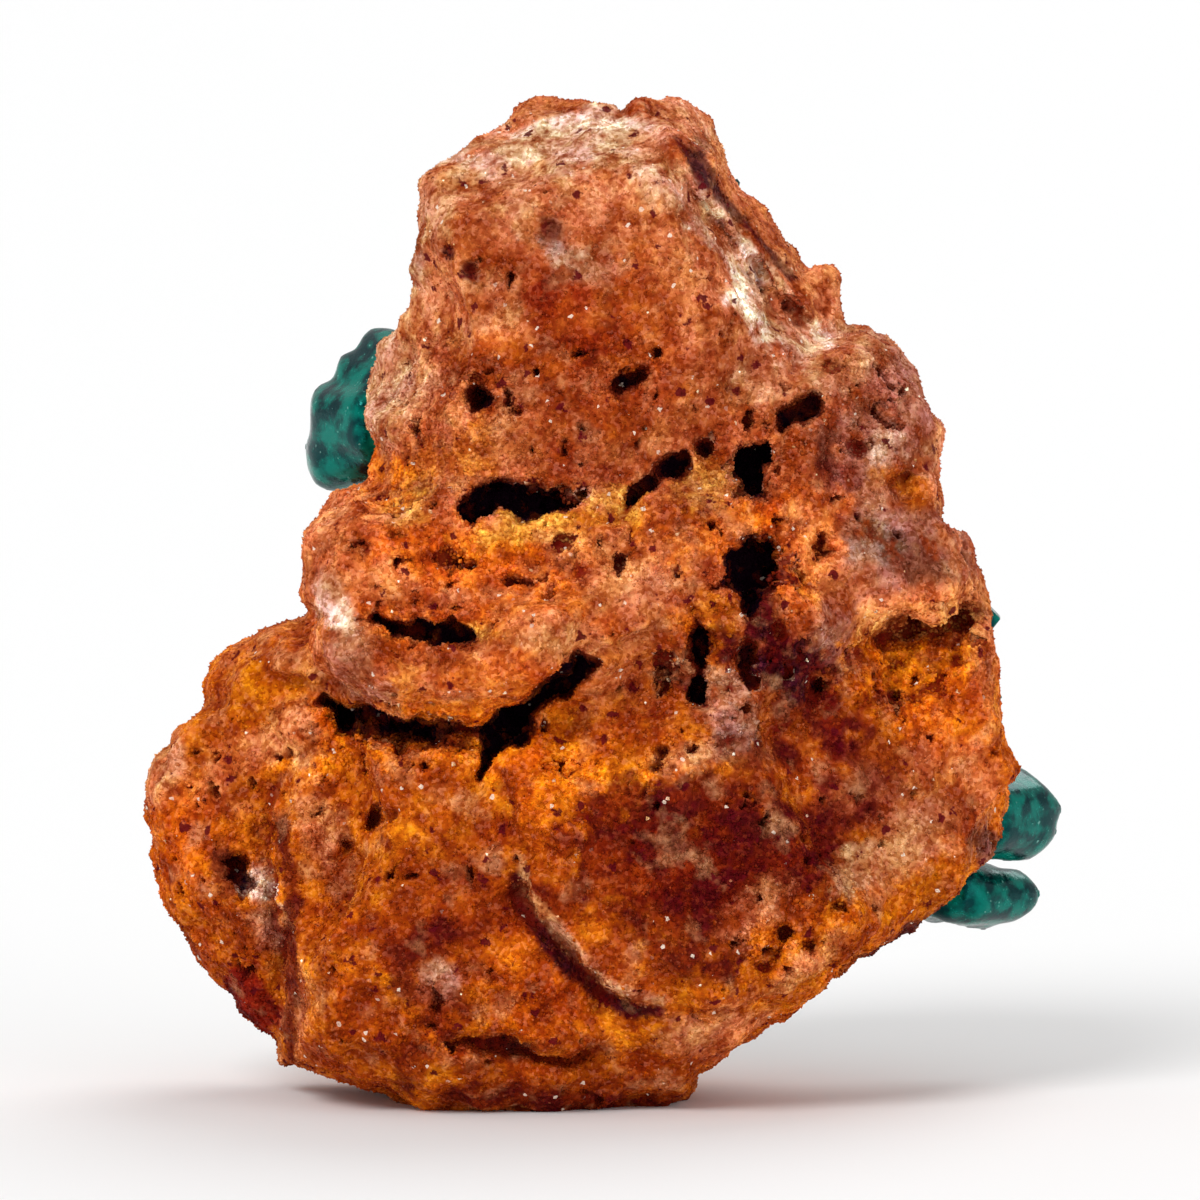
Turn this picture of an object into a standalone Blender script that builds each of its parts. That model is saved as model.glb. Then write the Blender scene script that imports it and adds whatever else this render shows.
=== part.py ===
"""Dioptase on matrix: green crystals on a lump of iron-stained rock, standing on its trimmed base.

Lengths in the tables are millimetres, and MM turns them into Blender's metres.
X runs to the right across the rock's broad bare face, +Y runs from that face to the crystals behind,
and +Z is up. The origin is the middle of the box's underside.
"""

import math
import random

import bmesh
import bpy
import numpy as np
from mathutils import Euler, Matrix, Vector, noise
from mathutils.bvhtree import BVHTree

MM = 0.001

# ---- driving dimensions ----
FACE_LEAN = math.radians(5)  # the broad face leans back this far from upright
FACE_MIDDLE = (0.0, 27.0)  # across and up the face, inside the outline
SKIN_VOXEL = 0.5  # grid that fuses the lumps
ROCK_TRIANGLES = 5700
PLAIN_THINNING = 1.0  # how much harder the rock is thinned away from its broad face
BRINK = 0.35  # how far a ledge takes to reach its height
SOCKET_GAP = 0.35  # clear space round a crystal's root
SETBACK = -2.0  # moves the finished object along Y, so that the origin is in the middle

OUT_OF_FACE = np.array([0, -math.cos(FACE_LEAN), math.sin(FACE_LEAN)])
UP_FACE = np.array([0, math.sin(FACE_LEAN), math.cos(FACE_LEAN)])

# The rock's lumps: centre, half sizes, turns about X, Y and Z in degrees, and how square each one is.
LUMPS = {
    "heart": ((0, 0, 28), (19, 12, 25), (0, 0, 0), 2.2),
    "crown": ((-1.5, -1, 43.5), (12, 11, 16), (0, 0, 0), 2.6),
    "rear_ridge": ((9.5, 3.5, 50.5), (4.8, 7, 11), (0, -38, 0), 2.3),
    "shoulder": ((14, 0.5, 37), (8.5, 10, 11.5), (0, 0, 0), 2.4),
    "slab": ((-6.5, -5.5, 30.8), (12.5, 9.5, 7), (0, 4, 0), 3.2),
    "saddle": ((6, -4.5, 31), (11, 9.5, 9), (0, 0, 0), 2.6),
    "left_lobe": ((-18, 1, 15.5), (10, 9.5, 13.5), (0, 15, 0), 2.4),
    "belly": ((-7.5, -3.5, 12), (12.5, 11.5, 14), (0, 0, 0), 2.8),
    "apron": ((8, -3.5, 14), (14.5, 12, 14.5), (0, -12, 0), 2.6),
    "right_foot": ((18.5, 1, 21), (8, 9.5, 10), (0, 0, 0), 2.4),
    "far_side": ((0, 4, 29), (18, 8.5, 23), (0, 0, 0), 2.3),
    "far_swell": ((-2, 7, 33), (13, 9, 9), (0, 12, 0), 2.4),
    "far_heel": ((5, 6, 14), (13, 9, 9), (0, -14, 0), 2.4),
}

# Flat chips broken off the lumps: a point on the broken face, the way it looks, and how far it reaches.
CHIPS = {
    "crown_face": ((-2, -10.6, 45), (-0.08, -1, 0.24), 17),
    "crown_top": ((-3, -3.5, 57.2), (-0.22, -0.5, 0.84), 9),
    "crown_right": ((8.2, -5.5, 50), (0.78, -0.5, 0.36), 10),
    "crown_left": ((-10.8, -4.5, 50), (-0.85, -0.5, 0.1), 10),
    "slab_face": ((-7, -14.4, 31), (-0.1, -1, -0.06), 12),
    "saddle_face": ((6, -13.2, 31), (0.08, -1, 0.08), 10),
    "belly_face": ((-9, -14.4, 13), (-0.1, -1, 0.2), 14),
    "apron_face": ((9, -14.6, 15), (0.2, -1, 0.15), 15),
    "apron_edge": ((15, -8, 7), (0.62, -0.35, -0.7), 10),
    "lobe_face": ((-21, -6.4, 17), (-0.4, -0.9, 0.2), 11),
    "shoulder_face": ((16, -7.2, 37), (0.5, -0.85, 0.2), 10),
    "foot_face": ((19.5, -7.6, 21), (0.42, -0.9, 0.1), 12),
    "far_upper": ((-3, 10.0, 46), (-0.25, 0.85, 0.45), 11),
    "far_ridge": ((9, 9.0, 45), (0.5, 0.8, 0.3), 8),
    "far_lower": ((9, 12.0, 17), (0.35, 0.9, -0.25), 12),
    "far_left": ((-15, 9.0, 24), (-0.6, 0.78, 0.1), 10),
    "far_lobe": ((-17, 10.0, 11), (-0.3, 0.85, -0.35), 10),
    "right_side": ((22.5, 3, 26), (0.95, 0.2, 0.15), 9),
}

# The outline of the broad face, clockwise from the crest, as (across, up the face).
OUTLINE = [
    (-4.0, 59.4), (-2.5, 59.6), (1.3, 58.9), (2.3, 59.6), (4.0, 59.9), (5.6, 59.6), (7.0, 58.6),
    (8.9, 54.6), (11.9, 50.8), (12.4, 49.7), (13.9, 49.4), (14.9, 46.1), (16.1, 46.1), (18.1, 44.6),
    (19.4, 42.3), (20.7, 37.7), (21.0, 34.5), (22.3, 33.0), (23.5, 30.5), (23.9, 27.6), (24.2, 22.7),
    (25.8, 19.1), (23.8, 13.8), (19.7, 10.5), (15.5, 7.7), (11.9, 4.3), (10.1, 3.6), (5.8, 0.6),
    (5.3, -0.4), (3.5, -1.4), (-11.5, -1.4), (-13.0, -0.2), (-15.4, 0.8), (-19.0, 1.7), (-19.4, 3.1),
    (-23.3, 6.4), (-25.0, 8.7), (-26.5, 11.8), (-27.7, 17.3), (-27.1, 19.5), (-26.0, 21.2), (-23.9, 23.0),
    (-23.6, 24.6), (-22.7, 25.9), (-18.2, 28.7), (-18.1, 33.6), (-16.4, 36.5), (-14.1, 36.8), (-13.9, 38.7),
    (-14.6, 40.7), (-14.6, 42.1), (-12.1, 47.4), (-11.1, 51.0), (-10.7, 54.5), (-9.4, 55.9), (-5.3, 58.3),
]

# Ledges on the broad face: the line of the brink as (across, up), with the raised side on its left,
# how far that side stands out, over what distance it fades, and how deep the rock is cut in below.
LEDGES = {
    "slab_foot": (
        [(-15.5, 23.6), (-14.4, 23.1), (-9.7, 22.1), (-7.6, 22.2), (-4.9, 23.3), (-2.8, 25.1), (-0.7, 26.1)],
        2.0, 6.0, 2.0,
    ),
    "flake": (
        [(-4.7, 14.4), (-4.3, 11.7), (-2.5, 9.6), (-1.0, 8.1), (0.5, 6.3), (2.3, 5.6), (3.6, 5.6)],
        1.6, 8.0, 0.9,
    ),
    "lobe_step": (
        [(-19.3, 19.5), (-19.6, 15.6), (-19.1, 11.4), (-18.7, 8.4), (-19.0, 5.4), (-19.1, 1.8)],
        2.0, 5.0, 0.8,
    ),
    "pocket_brow": (
        [(15.8, 27.5), (16.5, 28.1), (17.9, 28.3), (20.0, 28.1), (21.8, 29.2), (23.2, 29.6)],
        0.9, 3.5, 1.8,
    ),
    "crown_groove": (
        [(2.6, 57.6), (5.3, 54.4), (8.6, 50.0), (11.5, 46.4), (15.0, 45.0)],
        0.9, 5.0, 0.9,
    ),
    "foot_groove": (
        [(-10.4, 3.7), (-7.4, 3.8), (-2.5, 2.8), (1.1, 3.0)],
        0.7, 2.5, 1.6,
    ),
}

# Hollows in the broad face: depth, then the rim as (across, up).
VUGS = {
    "upper_slot": (4.2, [(-8.4, 34.3), (-8.2, 36.2), (-5.4, 36.2), (-2.0, 36.1), (-0.7, 35.3), (-3.3, 34.1),
                         (-6.5, 34.6), (-7.6, 33.8)]),
    "slanted_slot": (2.6, [(1.4, 34.8), (3.4, 36.0), (5.4, 37.5), (6.6, 38.6), (5.6, 38.9), (3.2, 37.3),
                           (1.3, 35.8)]),
    "block_hole": (4.6, [(7.8, 35.4), (10.2, 35.4), (10.1, 37.2), (10.4, 39.1), (7.8, 39.0), (8.0, 37.0)]),
    "arched_hole": (2.6, [(10.2, 39.2), (10.4, 40.6), (11.2, 41.4), (12.8, 41.7), (13.1, 40.6), (12.3, 39.9),
                          (11.5, 39.9), (11.0, 39.1)]),
    "tall_hole": (4.8, [(6.5, 29.8), (7.5, 31.4), (8.0, 33.0), (9.0, 33.6), (10.1, 33.1), (10.5, 31.0),
                        (10.1, 29.6), (9.3, 29.6), (9.2, 27.4), (8.4, 27.6), (8.4, 30.0), (7.5, 30.3)]),
    "side_slit": (3.2, [(5.2, 28.8), (6.4, 28.0), (6.3, 25.4), (6.4, 23.4), (5.0, 22.8), (5.2, 25.2)]),
    "inner_slit": (2.4, [(8.3, 27.4), (9.2, 27.0), (9.3, 24.4), (8.6, 23.9), (8.2, 25.4)]),
    "under_slab": (4.4, [(-17.8, 23.9), (-14.8, 23.3), (-9.6, 22.2), (-9.7, 21.0), (-11.6, 20.6), (-12.0, 19.0),
                         (-12.7, 20.6), (-16.0, 22.0)]),
    "dark_gash": (4.6, [(-7.4, 18.9), (-7.0, 21.8), (-4.6, 23.8), (-2.7, 25.5), (-1.2, 26.4), (0.2, 25.6),
                        (-1.4, 24.0), (-3.4, 22.9), (-5.0, 21.0), (-6.2, 19.4)]),
    "nick": (2.8, [(-7.7, 42.4), (-8.4, 41.0), (-8.0, 39.6), (-7.2, 40.1), (-6.4, 41.4), (-6.8, 42.3)]),
    "short_slit": (2.2, [(0.2, 42.1), (1.4, 43.2), (2.7, 43.6), (2.4, 42.5), (1.0, 41.4)]),
    "slab_slot": (3.0, [(-14.3, 28.3), (-12.4, 28.7), (-10.2, 27.9), (-8.6, 28.6), (-6.7, 27.6), (-7.4, 27.1),
                        (-9.6, 26.8), (-12.2, 27.2)]),
    "lobe_hole": (2.6, [(-22.6, 13.9), (-21.4, 14.4), (-20.6, 12.0), (-21.6, 11.3)]),
    "lobe_slit": (1.8, [(-15.3, 15.3), (-13.6, 16.9), (-12.2, 17.2), (-12.4, 16.4), (-13.8, 15.7),
                        (-15.0, 14.8)]),
    "ochre_pocket": (1.9, [(16.0, 27.8), (20.0, 28.2), (22.0, 28.6), (21.8, 26.0), (19.5, 23.2),
                           (17.0, 23.0)]),
}

# Round pits in the broad face: across, up, radius, depth.
PITS = [
    (-9.1, 50.1, 0.45, 0.7), (-8.0, 48.8, 0.55, 0.9), (13.2, 43.2, 0.8, 0.8), (18.2, 36.0, 0.9, 0.9),
    (13.7, 11.1, 0.55, 1.2), (10.7, 9.9, 0.6, 1.3), (10.0, 8.6, 0.5, 1.1), (12.0, 8.7, 0.6, 1.2),
    (5.7, 4.7, 0.6, 1.0), (-2.4, 32.7, 0.45, 0.7), (-9.6, 32.1, 0.6, 0.8), (15.6, 38.4, 0.6, 0.8),
    (21.0, 27.0, 0.5, 0.7), (14.1, 20.8, 0.5, 0.6), (-14.3, 32.6, 0.4, 0.5), (4.4, 31.4, 0.4, 0.6),
    (3.8, 25.5, 0.6, 1.0), (10.6, 27.4, 0.6, 1.0), (11.6, 25.6, 0.8, 1.0), (12.6, 23.8, 0.5, 0.8),
    (-15.9, 14.2, 0.6, 0.7), (1.6, 33.0, 0.4, 0.6), (-10.9, 39.0, 0.5, 0.7), (16.3, 33.6, 0.4, 0.6),
]

STRAY_PITS = 46  # hollows scattered over the other sides
NOISE_SEED = 5  # picks the rock's crags and the wobble of its rims
VUG_WALL = 0.5  # how far in from its rim a hollow reaches its depth

# Relief of the rock: height and spacing.
SWELLS = (0.9, 10.0)
SEAMS = (0.3, 5.0)  # grooves between knobs
CRAGS = (0.4, 4.5)
FAR_RELIEF = 0.9  # how much of the relief the far side has on top

# ---- the crystals ----

TIP_LEAN = math.radians(51)  # lean of a dioptase crystal's three end faces
ROOT = 1.6  # how far a crystal reaches down into the rock

# Crystals that show past the rock's edges: middle of the root, axis, radius and length of each.
EDGE_GROUPS = {
    "dioptase_left": [
        ((-12.6, 4.6, 39.9), (-0.62, 0.78, -0.05), 2.6, 7.4),
        ((-12.7, 5.2, 38.8), (-0.7, 0.6, -0.3), 1.9, 6.8),
        ((-11.9, 4.8, 41.8), (-0.6, 0.78, 0.1), 1.7, 6.2),
        ((-11.1, 4.7, 43.4), (-0.5, 0.85, 0.1), 1.4, 6.0),
    ],
    "dioptase_right_upper": [
        ((22.4, 3.5, 16.1), (0.66, 0.75, 0.04), 2.5, 7.0),
        ((22.1, 3.5, 15.4), (0.75, 0.62, -0.08), 1.7, 6.6),
        ((22.6, 3.9, 16.8), (0.5, 0.84, 0.15), 1.4, 5.8),
    ],
    "dioptase_right_lower": [
        ((20.6, 4.2, 11.8), (0.55, 0.8, -0.2), 1.9, 7.0),
        ((19.2, 4.0, 12.3), (0.25, 0.9, -0.3), 1.7, 6.4),
        ((21.8, 4.5, 11.1), (0.7, 0.71, -0.02), 1.5, 6.2),
    ],
    "dioptase_right_bead_upper": [((21.6, 5.4, 27.8), (0.86, 0.5, 0.05), 1.2, 2.9)],
    "dioptase_right_bead_lower": [((21.8, 5.2, 23.4), (0.84, 0.5, -0.1), 1.0, 2.8)],
}

# Groups on the far side: across, height, crystals in the group, radius of the largest, seed.
FAR_GROUPS = {
    "dioptase_far_middle": (-1.5, 34.0, 12, 3.1, 1),
    "dioptase_far_top": (-3.5, 49.0, 5, 2.2, 2),
    "dioptase_far_ridge": (7.5, 46.5, 3, 1.7, 3),
    "dioptase_far_left": (-13.0, 27.5, 4, 2.1, 4),
    "dioptase_far_right": (12.0, 32.5, 6, 2.4, 5),
    "dioptase_far_low_middle": (4.0, 15.5, 6, 2.6, 6),
    "dioptase_far_low_left": (-13.5, 14.5, 4, 2.0, 7),
    "dioptase_far_low_right": (15.0, 19.5, 3, 1.9, 8),
    "dioptase_far_foot": (-5.5, 11.5, 3, 1.6, 9),
}
FAN = 0.16  # how far a group's outer crystals lean away from its middle, for each millimetre from it
BESIDE = 0.78  # how far apart neighbours in a group grow, as a share of their two radii together
APART = 0.7  # the least that any two may be apart, in the same measure


def clear_scene():
    for obj in list(bpy.data.objects):
        bpy.data.objects.remove(obj)


def new_object(name, mesh):
    obj = bpy.data.objects.new(name, mesh)
    bpy.context.scene.collection.objects.link(obj)
    return obj


def evaluated_mesh(obj, name):
    """A new mesh with obj's modifiers applied; obj itself is removed."""
    graph = bpy.context.evaluated_depsgraph_get()
    mesh = bpy.data.meshes.new_from_object(obj.evaluated_get(graph))
    mesh.name = name
    bpy.data.objects.remove(obj)
    return mesh


def vertex_places(mesh):
    """The vertices as rows of x, y and z in millimetres."""
    places = np.empty(len(mesh.vertices) * 3)
    mesh.vertices.foreach_get("co", places)
    return places.reshape(-1, 3) / MM


def vertex_normals(mesh):
    normals = np.empty(len(mesh.vertices) * 3)
    mesh.vertex_normals.foreach_get("vector", normals)
    return normals.reshape(-1, 3)


def move_vertices(mesh, places):
    mesh.vertices.foreach_set("co", (places * MM).ravel())
    mesh.update()


def smoothstep(low, high, value):
    share = np.clip((value - low) / (high - low), 0, 1)
    return share * share * (3 - 2 * share)


# ---- the rock ----


def add_lump(bm, centre, half_sizes, turns, squareness):
    """A rounded block: a sphere squared off towards its box, sized, turned and put in place."""
    made = bmesh.ops.create_icosphere(bm, subdivisions=4, radius=1)["verts"]
    for vert in made:
        vert.co /= sum(abs(c) ** squareness for c in vert.co) ** (1 / squareness)
    turned = Euler([math.radians(t) for t in turns]).to_matrix().to_4x4()
    sized = Matrix.Diagonal([half * MM for half in half_sizes] + [1])
    bmesh.ops.transform(bm, matrix=Matrix.Translation(Vector(centre) * MM) @ turned @ sized, verts=made)


def fused_lumps():
    bm = bmesh.new()
    for lump in LUMPS.values():
        add_lump(bm, *lump)
    mesh = bpy.data.meshes.new("lumps")
    bm.to_mesh(mesh)
    bm.free()
    obj = new_object("lumps", mesh)
    fuse = obj.modifiers.new("fuse", "REMESH")
    fuse.mode = "VOXEL"
    fuse.voxel_size = SKIN_VOXEL * MM
    soften = obj.modifiers.new("soften", "SMOOTH")
    soften.factor = 0.5
    soften.iterations = 8
    return evaluated_mesh(obj, "matrix")


def on_face(places):
    """Places as (across, up the face)."""
    return np.stack([places[:, 0], places @ UP_FACE], axis=1)


def fit_to_outline(places):
    """Stretches the rock across and up the face until its edge follows OUTLINE."""
    flat = on_face(places) - FACE_MIDDLE
    turn = np.arctan2(flat[:, 1], flat[:, 0])
    reach = np.hypot(*flat.T)
    slots = 200
    widest = np.zeros(slots)
    np.maximum.at(widest, ((turn / (2 * math.pi) + 0.5) * slots).astype(int) % slots, reach)
    widest = (np.roll(widest, 1) + 2 * widest + np.roll(widest, -1)) / 4
    slot_turns = (np.arange(slots) + 0.5) / slots * 2 * math.pi - math.pi
    have = np.interp(turn, slot_turns, widest, period=2 * math.pi)
    edge = np.array(OUTLINE) - FACE_MIDDLE
    wanted = np.interp(turn, np.arctan2(edge[:, 1], edge[:, 0]), np.hypot(*edge.T), period=2 * math.pi)
    stretch = 1 + (wanted / have - 1) * np.clip(reach / have, 0, 1) ** 2
    moved = flat * (stretch - 1)[:, None]
    return places + np.outer(moved[:, 0], [1, 0, 0]) + np.outer(moved[:, 1], UP_FACE)


def to_line(flat, line, closed=False):
    """Distance from each flat place to a line, and which side of it the place is on (+1 on the left)."""
    corners = np.array(line + line[:1] if closed else line, float)
    nearest = np.full(len(flat), 1e9)
    side = np.ones(len(flat))
    for start, end in zip(corners[:-1], corners[1:]):
        along = end - start
        offset = flat - start
        share = np.clip(offset @ along / (along @ along), 0, 1)
        gap = np.hypot(*(offset - share[:, None] * along).T)
        closer = gap < nearest - 1e-9
        nearest = np.where(closer, gap, nearest)
        side = np.where(closer, np.sign(along[0] * offset[:, 1] - along[1] * offset[:, 0]), side)
    return nearest, side


def inside(flat, rim):
    """Whether each flat place is within the closed rim."""
    crossings = np.zeros(len(flat), int)
    for (x0, y0), (x1, y1) in zip(rim, rim[1:] + rim[:1]):
        if y0 != y1:
            spans = (flat[:, 1] > min(y0, y1)) & (flat[:, 1] <= max(y0, y1))
            crossings += spans & (flat[:, 0] < x0 + (flat[:, 1] - y0) * (x1 - x0) / (y1 - y0))
    return crossings % 2 == 1


def ledge_height(flat, brink, height, fade, cut):
    """How far a ledge moves each place out of the face."""
    gap, side = to_line(flat, brink)
    from_ends = np.minimum(*(np.hypot(*(flat - end).T) for end in (brink[0], brink[-1])))
    span = math.dist(brink[0], brink[-1])
    kept = smoothstep(0, 0.25 * span, from_ends) * (1 - smoothstep(0.8 * fade, fade, gap))
    raised = height * smoothstep(0, BRINK, gap) * (1 - smoothstep(0.2 * fade, fade, gap))
    lowered = -cut * (1 - smoothstep(0.2, 1.6, gap))
    return np.where(side > 0, raised, lowered) * kept


def vug_depth(flat, depth, rim):
    """How far a hollow moves each place into the rock."""
    gap, _ = to_line(flat, rim, closed=True)
    return depth * smoothstep(0, VUG_WALL, gap) * inside(flat, rim)


def wobbled(places):
    """The places shifted a little this way and that, so that what is carved there gets uneven rims."""
    broad = np.array([noise.noise_vector(Vector(place) * 0.5) for place in places])
    fine = np.array([noise.noise_vector(Vector(place) * 1.3) for place in places])
    return places + broad * 0.5 + fine * 0.3


def carve_face(places, normals):
    """Raises the ledges and sinks the hollows of the broad face."""
    flat = on_face(wobbled(places))
    out = sum(ledge_height(flat, *ledge) for ledge in LEDGES.values())
    for vug in VUGS.values():
        out = out - vug_depth(flat, *vug)
    for across, up, radius, depth in PITS:
        gap = np.hypot(*(flat - (across, up)).T)
        out = out - depth * (1 - smoothstep(0.3 * radius, 1.1 * radius, gap))
    facing = smoothstep(0.0, 0.35, normals @ OUT_OF_FACE)
    return places + np.outer(out * facing, OUT_OF_FACE)


def carve_other_sides(places, normals):
    """Scatters hollows over the sides and the far side, each where a line from the heart leaves the rock."""
    heart = np.array([0, 0, 28.0])
    draw = random.Random(11)
    moved = places.copy()
    for _ in range(STRAY_PITS):
        way = np.array([draw.gauss(0, 1), abs(draw.gauss(0, 1)) - 0.4, draw.gauss(0, 1)])
        way /= np.linalg.norm(way)
        radius = draw.uniform(0.7, 2.2)
        depth = radius * draw.uniform(0.4, 0.9)
        long = draw.uniform(0.45, 1.0)
        reach = (places - heart) @ way
        beside = np.linalg.norm(places - heart - np.outer(reach, way), axis=1)
        spot = places[np.argmax(np.where(beside < 1.2, reach, -1e9))]
        off = (places - spot) / [1, 1, long]
        gap = np.linalg.norm(off, axis=1)
        sunk = depth * (1 - smoothstep(0.25 * radius, radius, gap))
        aside = 1 - smoothstep(0.1, 0.5, normals @ OUT_OF_FACE)
        moved -= normals * (sunk * aside)[:, None]
    return moved


def chip(places):
    """Presses whatever stands beyond each broken face back onto it."""
    for point, way, reach in CHIPS.values():
        way = np.array(way) / np.linalg.norm(way)
        offset = places - point
        held = 1 - smoothstep(0.75 * reach, reach, np.linalg.norm(offset, axis=1))
        places = places - np.outer(np.maximum(offset @ way, 0) * held, way)
    return places


def roughen(places, normals):
    """Knobs, crags and hollows of several sizes along the surface normal, strongest on the far side."""
    bumps = []
    for place in places:
        spot = Vector(place)
        bent = spot + noise.noise_vector(spot * 0.2) * 2.0
        swell = noise.fractal(spot / SWELLS[1], 0.9, 2.1, 3)
        near, next_near = noise.voronoi(bent / SEAMS[1])[0][:2]
        seam = min((next_near - near) / 0.3, 1) - 1
        crag = noise.ridged_multi_fractal(spot / CRAGS[1], 0.9, 2.2, 3, 1.0, 2.0) - 1.2
        bumps.append(SWELLS[0] * swell + SEAMS[0] * seam + CRAGS[0] * crag)
    strength = 1 + FAR_RELIEF * smoothstep(0, 0.6, -normals @ OUT_OF_FACE)
    return places + normals * (np.array(bumps) * strength)[:, None]


def sculpted_rock():
    """The rock's whole skin, before it is thinned and trimmed."""
    noise.seed_set(NOISE_SEED)
    mesh = fused_lumps()
    move_vertices(mesh, fit_to_outline(vertex_places(mesh)))
    move_vertices(mesh, chip(vertex_places(mesh)))
    move_vertices(mesh, fit_to_outline(vertex_places(mesh)))
    move_vertices(mesh, roughen(vertex_places(mesh), vertex_normals(mesh)))
    move_vertices(mesh, carve_other_sides(vertex_places(mesh), vertex_normals(mesh)))
    move_vertices(mesh, carve_face(vertex_places(mesh), vertex_normals(mesh)))
    return mesh


def thinned(mesh, triangles):
    """The mesh in fewer triangles, most of them spent on the broad face."""
    obj = new_object("thinned", mesh)
    turned_away = 1 - 0.4 * smoothstep(-0.2, 0.4, vertex_normals(mesh) @ OUT_OF_FACE)
    plain = obj.vertex_groups.new(name="plain")
    for index, share in enumerate(turned_away):
        plain.add([index], share, "REPLACE")
    thin = obj.modifiers.new("thin", "DECIMATE")
    thin.ratio = triangles / (2 * len(mesh.polygons))
    thin.vertex_group = plain.name
    thin.vertex_group_factor = PLAIN_THINNING
    return evaluated_mesh(obj, "matrix")


# ---- the crystals ----


def add_crystal(bm, root, axis, radius, length, grown=0):
    """A six-sided prism whose free end is closed by three leaning faces, each over every second edge."""
    corner = (radius + grown / math.cos(math.radians(30))) * MM
    height = (length + 2 * grown) * MM
    prism = bmesh.ops.create_cone(bm, cap_ends=True, segments=6, radius1=corner, radius2=corner, depth=height)
    bmesh.ops.translate(bm, verts=prism["verts"], vec=(0, 0, length / 2 * MM))
    tip = Vector((0, 0, length + grown / math.cos(TIP_LEAN))) * MM
    leaning = Vector((0, math.sin(TIP_LEAN), math.cos(TIP_LEAN)))
    for turn in range(3):
        way = Matrix.Rotation(math.radians(120 * turn + 30), 3, "Z") @ leaning
        geom = bm.verts[:] + bm.edges[:] + bm.faces[:]
        cut = bmesh.ops.bisect_plane(bm, geom=geom, plane_co=tip, plane_no=way, clear_outer=True, dist=1e-7)
        rim = [edge for edge in cut["geom_cut"] if isinstance(edge, bmesh.types.BMEdge)]
        bmesh.ops.contextual_create(bm, geom=rim)
    turned = Vector(axis).to_track_quat("Z", "Y").to_matrix().to_4x4()
    bmesh.ops.transform(bm, matrix=Matrix.Translation(Vector(root) * MM) @ turned, verts=bm.verts)


def crystal_object(name, crystal, grown=0):
    bm = bmesh.new()
    add_crystal(bm, *crystal, grown=grown)
    mesh = bpy.data.meshes.new(name)
    bmesh.ops.recalc_face_normals(bm, faces=bm.faces)
    bm.to_mesh(mesh)
    bm.free()
    return new_object(name, mesh)


def joined(name, objects):
    """One closed mesh of several that overlap."""
    first, *others = objects
    for other in others:
        join = first.modifiers.new("join", "BOOLEAN")
        join.operation = "UNION"
        join.object = other
    mesh = evaluated_mesh(first, name)
    for other in others:
        bpy.data.objects.remove(other)
    return mesh


def group_mesh(name, crystals, grown=0):
    return joined(name, [crystal_object(f"{name}.{i}", c, grown) for i, c in enumerate(crystals)])


def far_group(rock_tree, across, height, count, largest, seed):
    """Crystals packed side by side round one spot of the far side, the largest in the middle."""
    draw = random.Random(seed)
    spots = [Vector((across, 0, height))]
    radii = [largest]
    while len(spots) < count:
        radius = largest * draw.uniform(0.45, 0.85)
        beside = draw.randrange(len(spots))
        turn = draw.uniform(0, 2 * math.pi)
        step = BESIDE * (radii[beside] + radius)
        spot = spots[beside] + Vector((math.cos(turn), 0, math.sin(turn))) * step
        if all((spot - other).length > APART * (radius + r) for other, r in zip(spots, radii)):
            spots.append(spot)
            radii.append(radius)
    crystals = []
    for spot, radius in zip(spots, radii):
        place, normal, _, _ = rock_tree.ray_cast((spot + Vector((0, 60, 0))) * MM, Vector((0, -1, 0)))
        astray = Vector([draw.uniform(-0.25, 0.25) for _ in range(3)])
        axis = (normal + Vector((0, 0.6, 0)) + (spot - spots[0]) * FAN + astray).normalized()
        crystals.append((place / MM - axis * ROOT, axis, radius, ROOT + radius * draw.uniform(1.2, 2.0)))
    return crystals


def tree_of(mesh):
    bm = bmesh.new()
    bm.from_mesh(mesh)
    tree = BVHTree.FromBMesh(bm)
    bm.free()
    return tree


def cut_from(mesh, cutters, name):
    """The mesh with every cutter taken out of it."""
    obj = new_object(name, mesh)
    for cutter in cutters:
        cut = obj.modifiers.new("cut", "BOOLEAN")
        cut.operation = "DIFFERENCE"
        cut.solver = "MANIFOLD"
        cut.object = cutter
    left = evaluated_mesh(obj, name)
    for cutter in cutters:
        bpy.data.objects.remove(cutter)
    return left


def without_crumbs(mesh):
    """Only the largest of the mesh's separate shells stays."""
    bm = bmesh.new()
    bm.from_mesh(mesh)
    left = set(bm.verts)
    shells = []
    while left:
        edge = [left.pop()]
        shell = set(edge)
        while edge:
            vert = edge.pop()
            near = {e.other_vert(vert) for e in vert.link_edges} & left
            left -= near
            shell |= near
            edge.extend(near)
        shells.append(shell)
    crumbs = set(bm.verts) - max(shells, key=len)
    bmesh.ops.delete(bm, geom=list(crumbs), context="VERTS")
    bm.to_mesh(mesh)
    bm.free()
    return mesh


def ground_block():
    """Everything below the trimmed base."""
    bm = bmesh.new()
    bmesh.ops.create_cube(bm, size=100 * MM, matrix=Matrix.Translation((0, 0, -50 * MM)))
    mesh = bpy.data.meshes.new("ground")
    bm.to_mesh(mesh)
    bm.free()
    return new_object("ground", mesh)


def material(name, colour, roughness):
    made = bpy.data.materials.new(name)
    made.use_nodes = True
    shader = made.node_tree.nodes["Principled BSDF"]
    shader.inputs["Base Color"].default_value = (*colour, 1)
    shader.inputs["Roughness"].default_value = roughness
    return made


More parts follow.
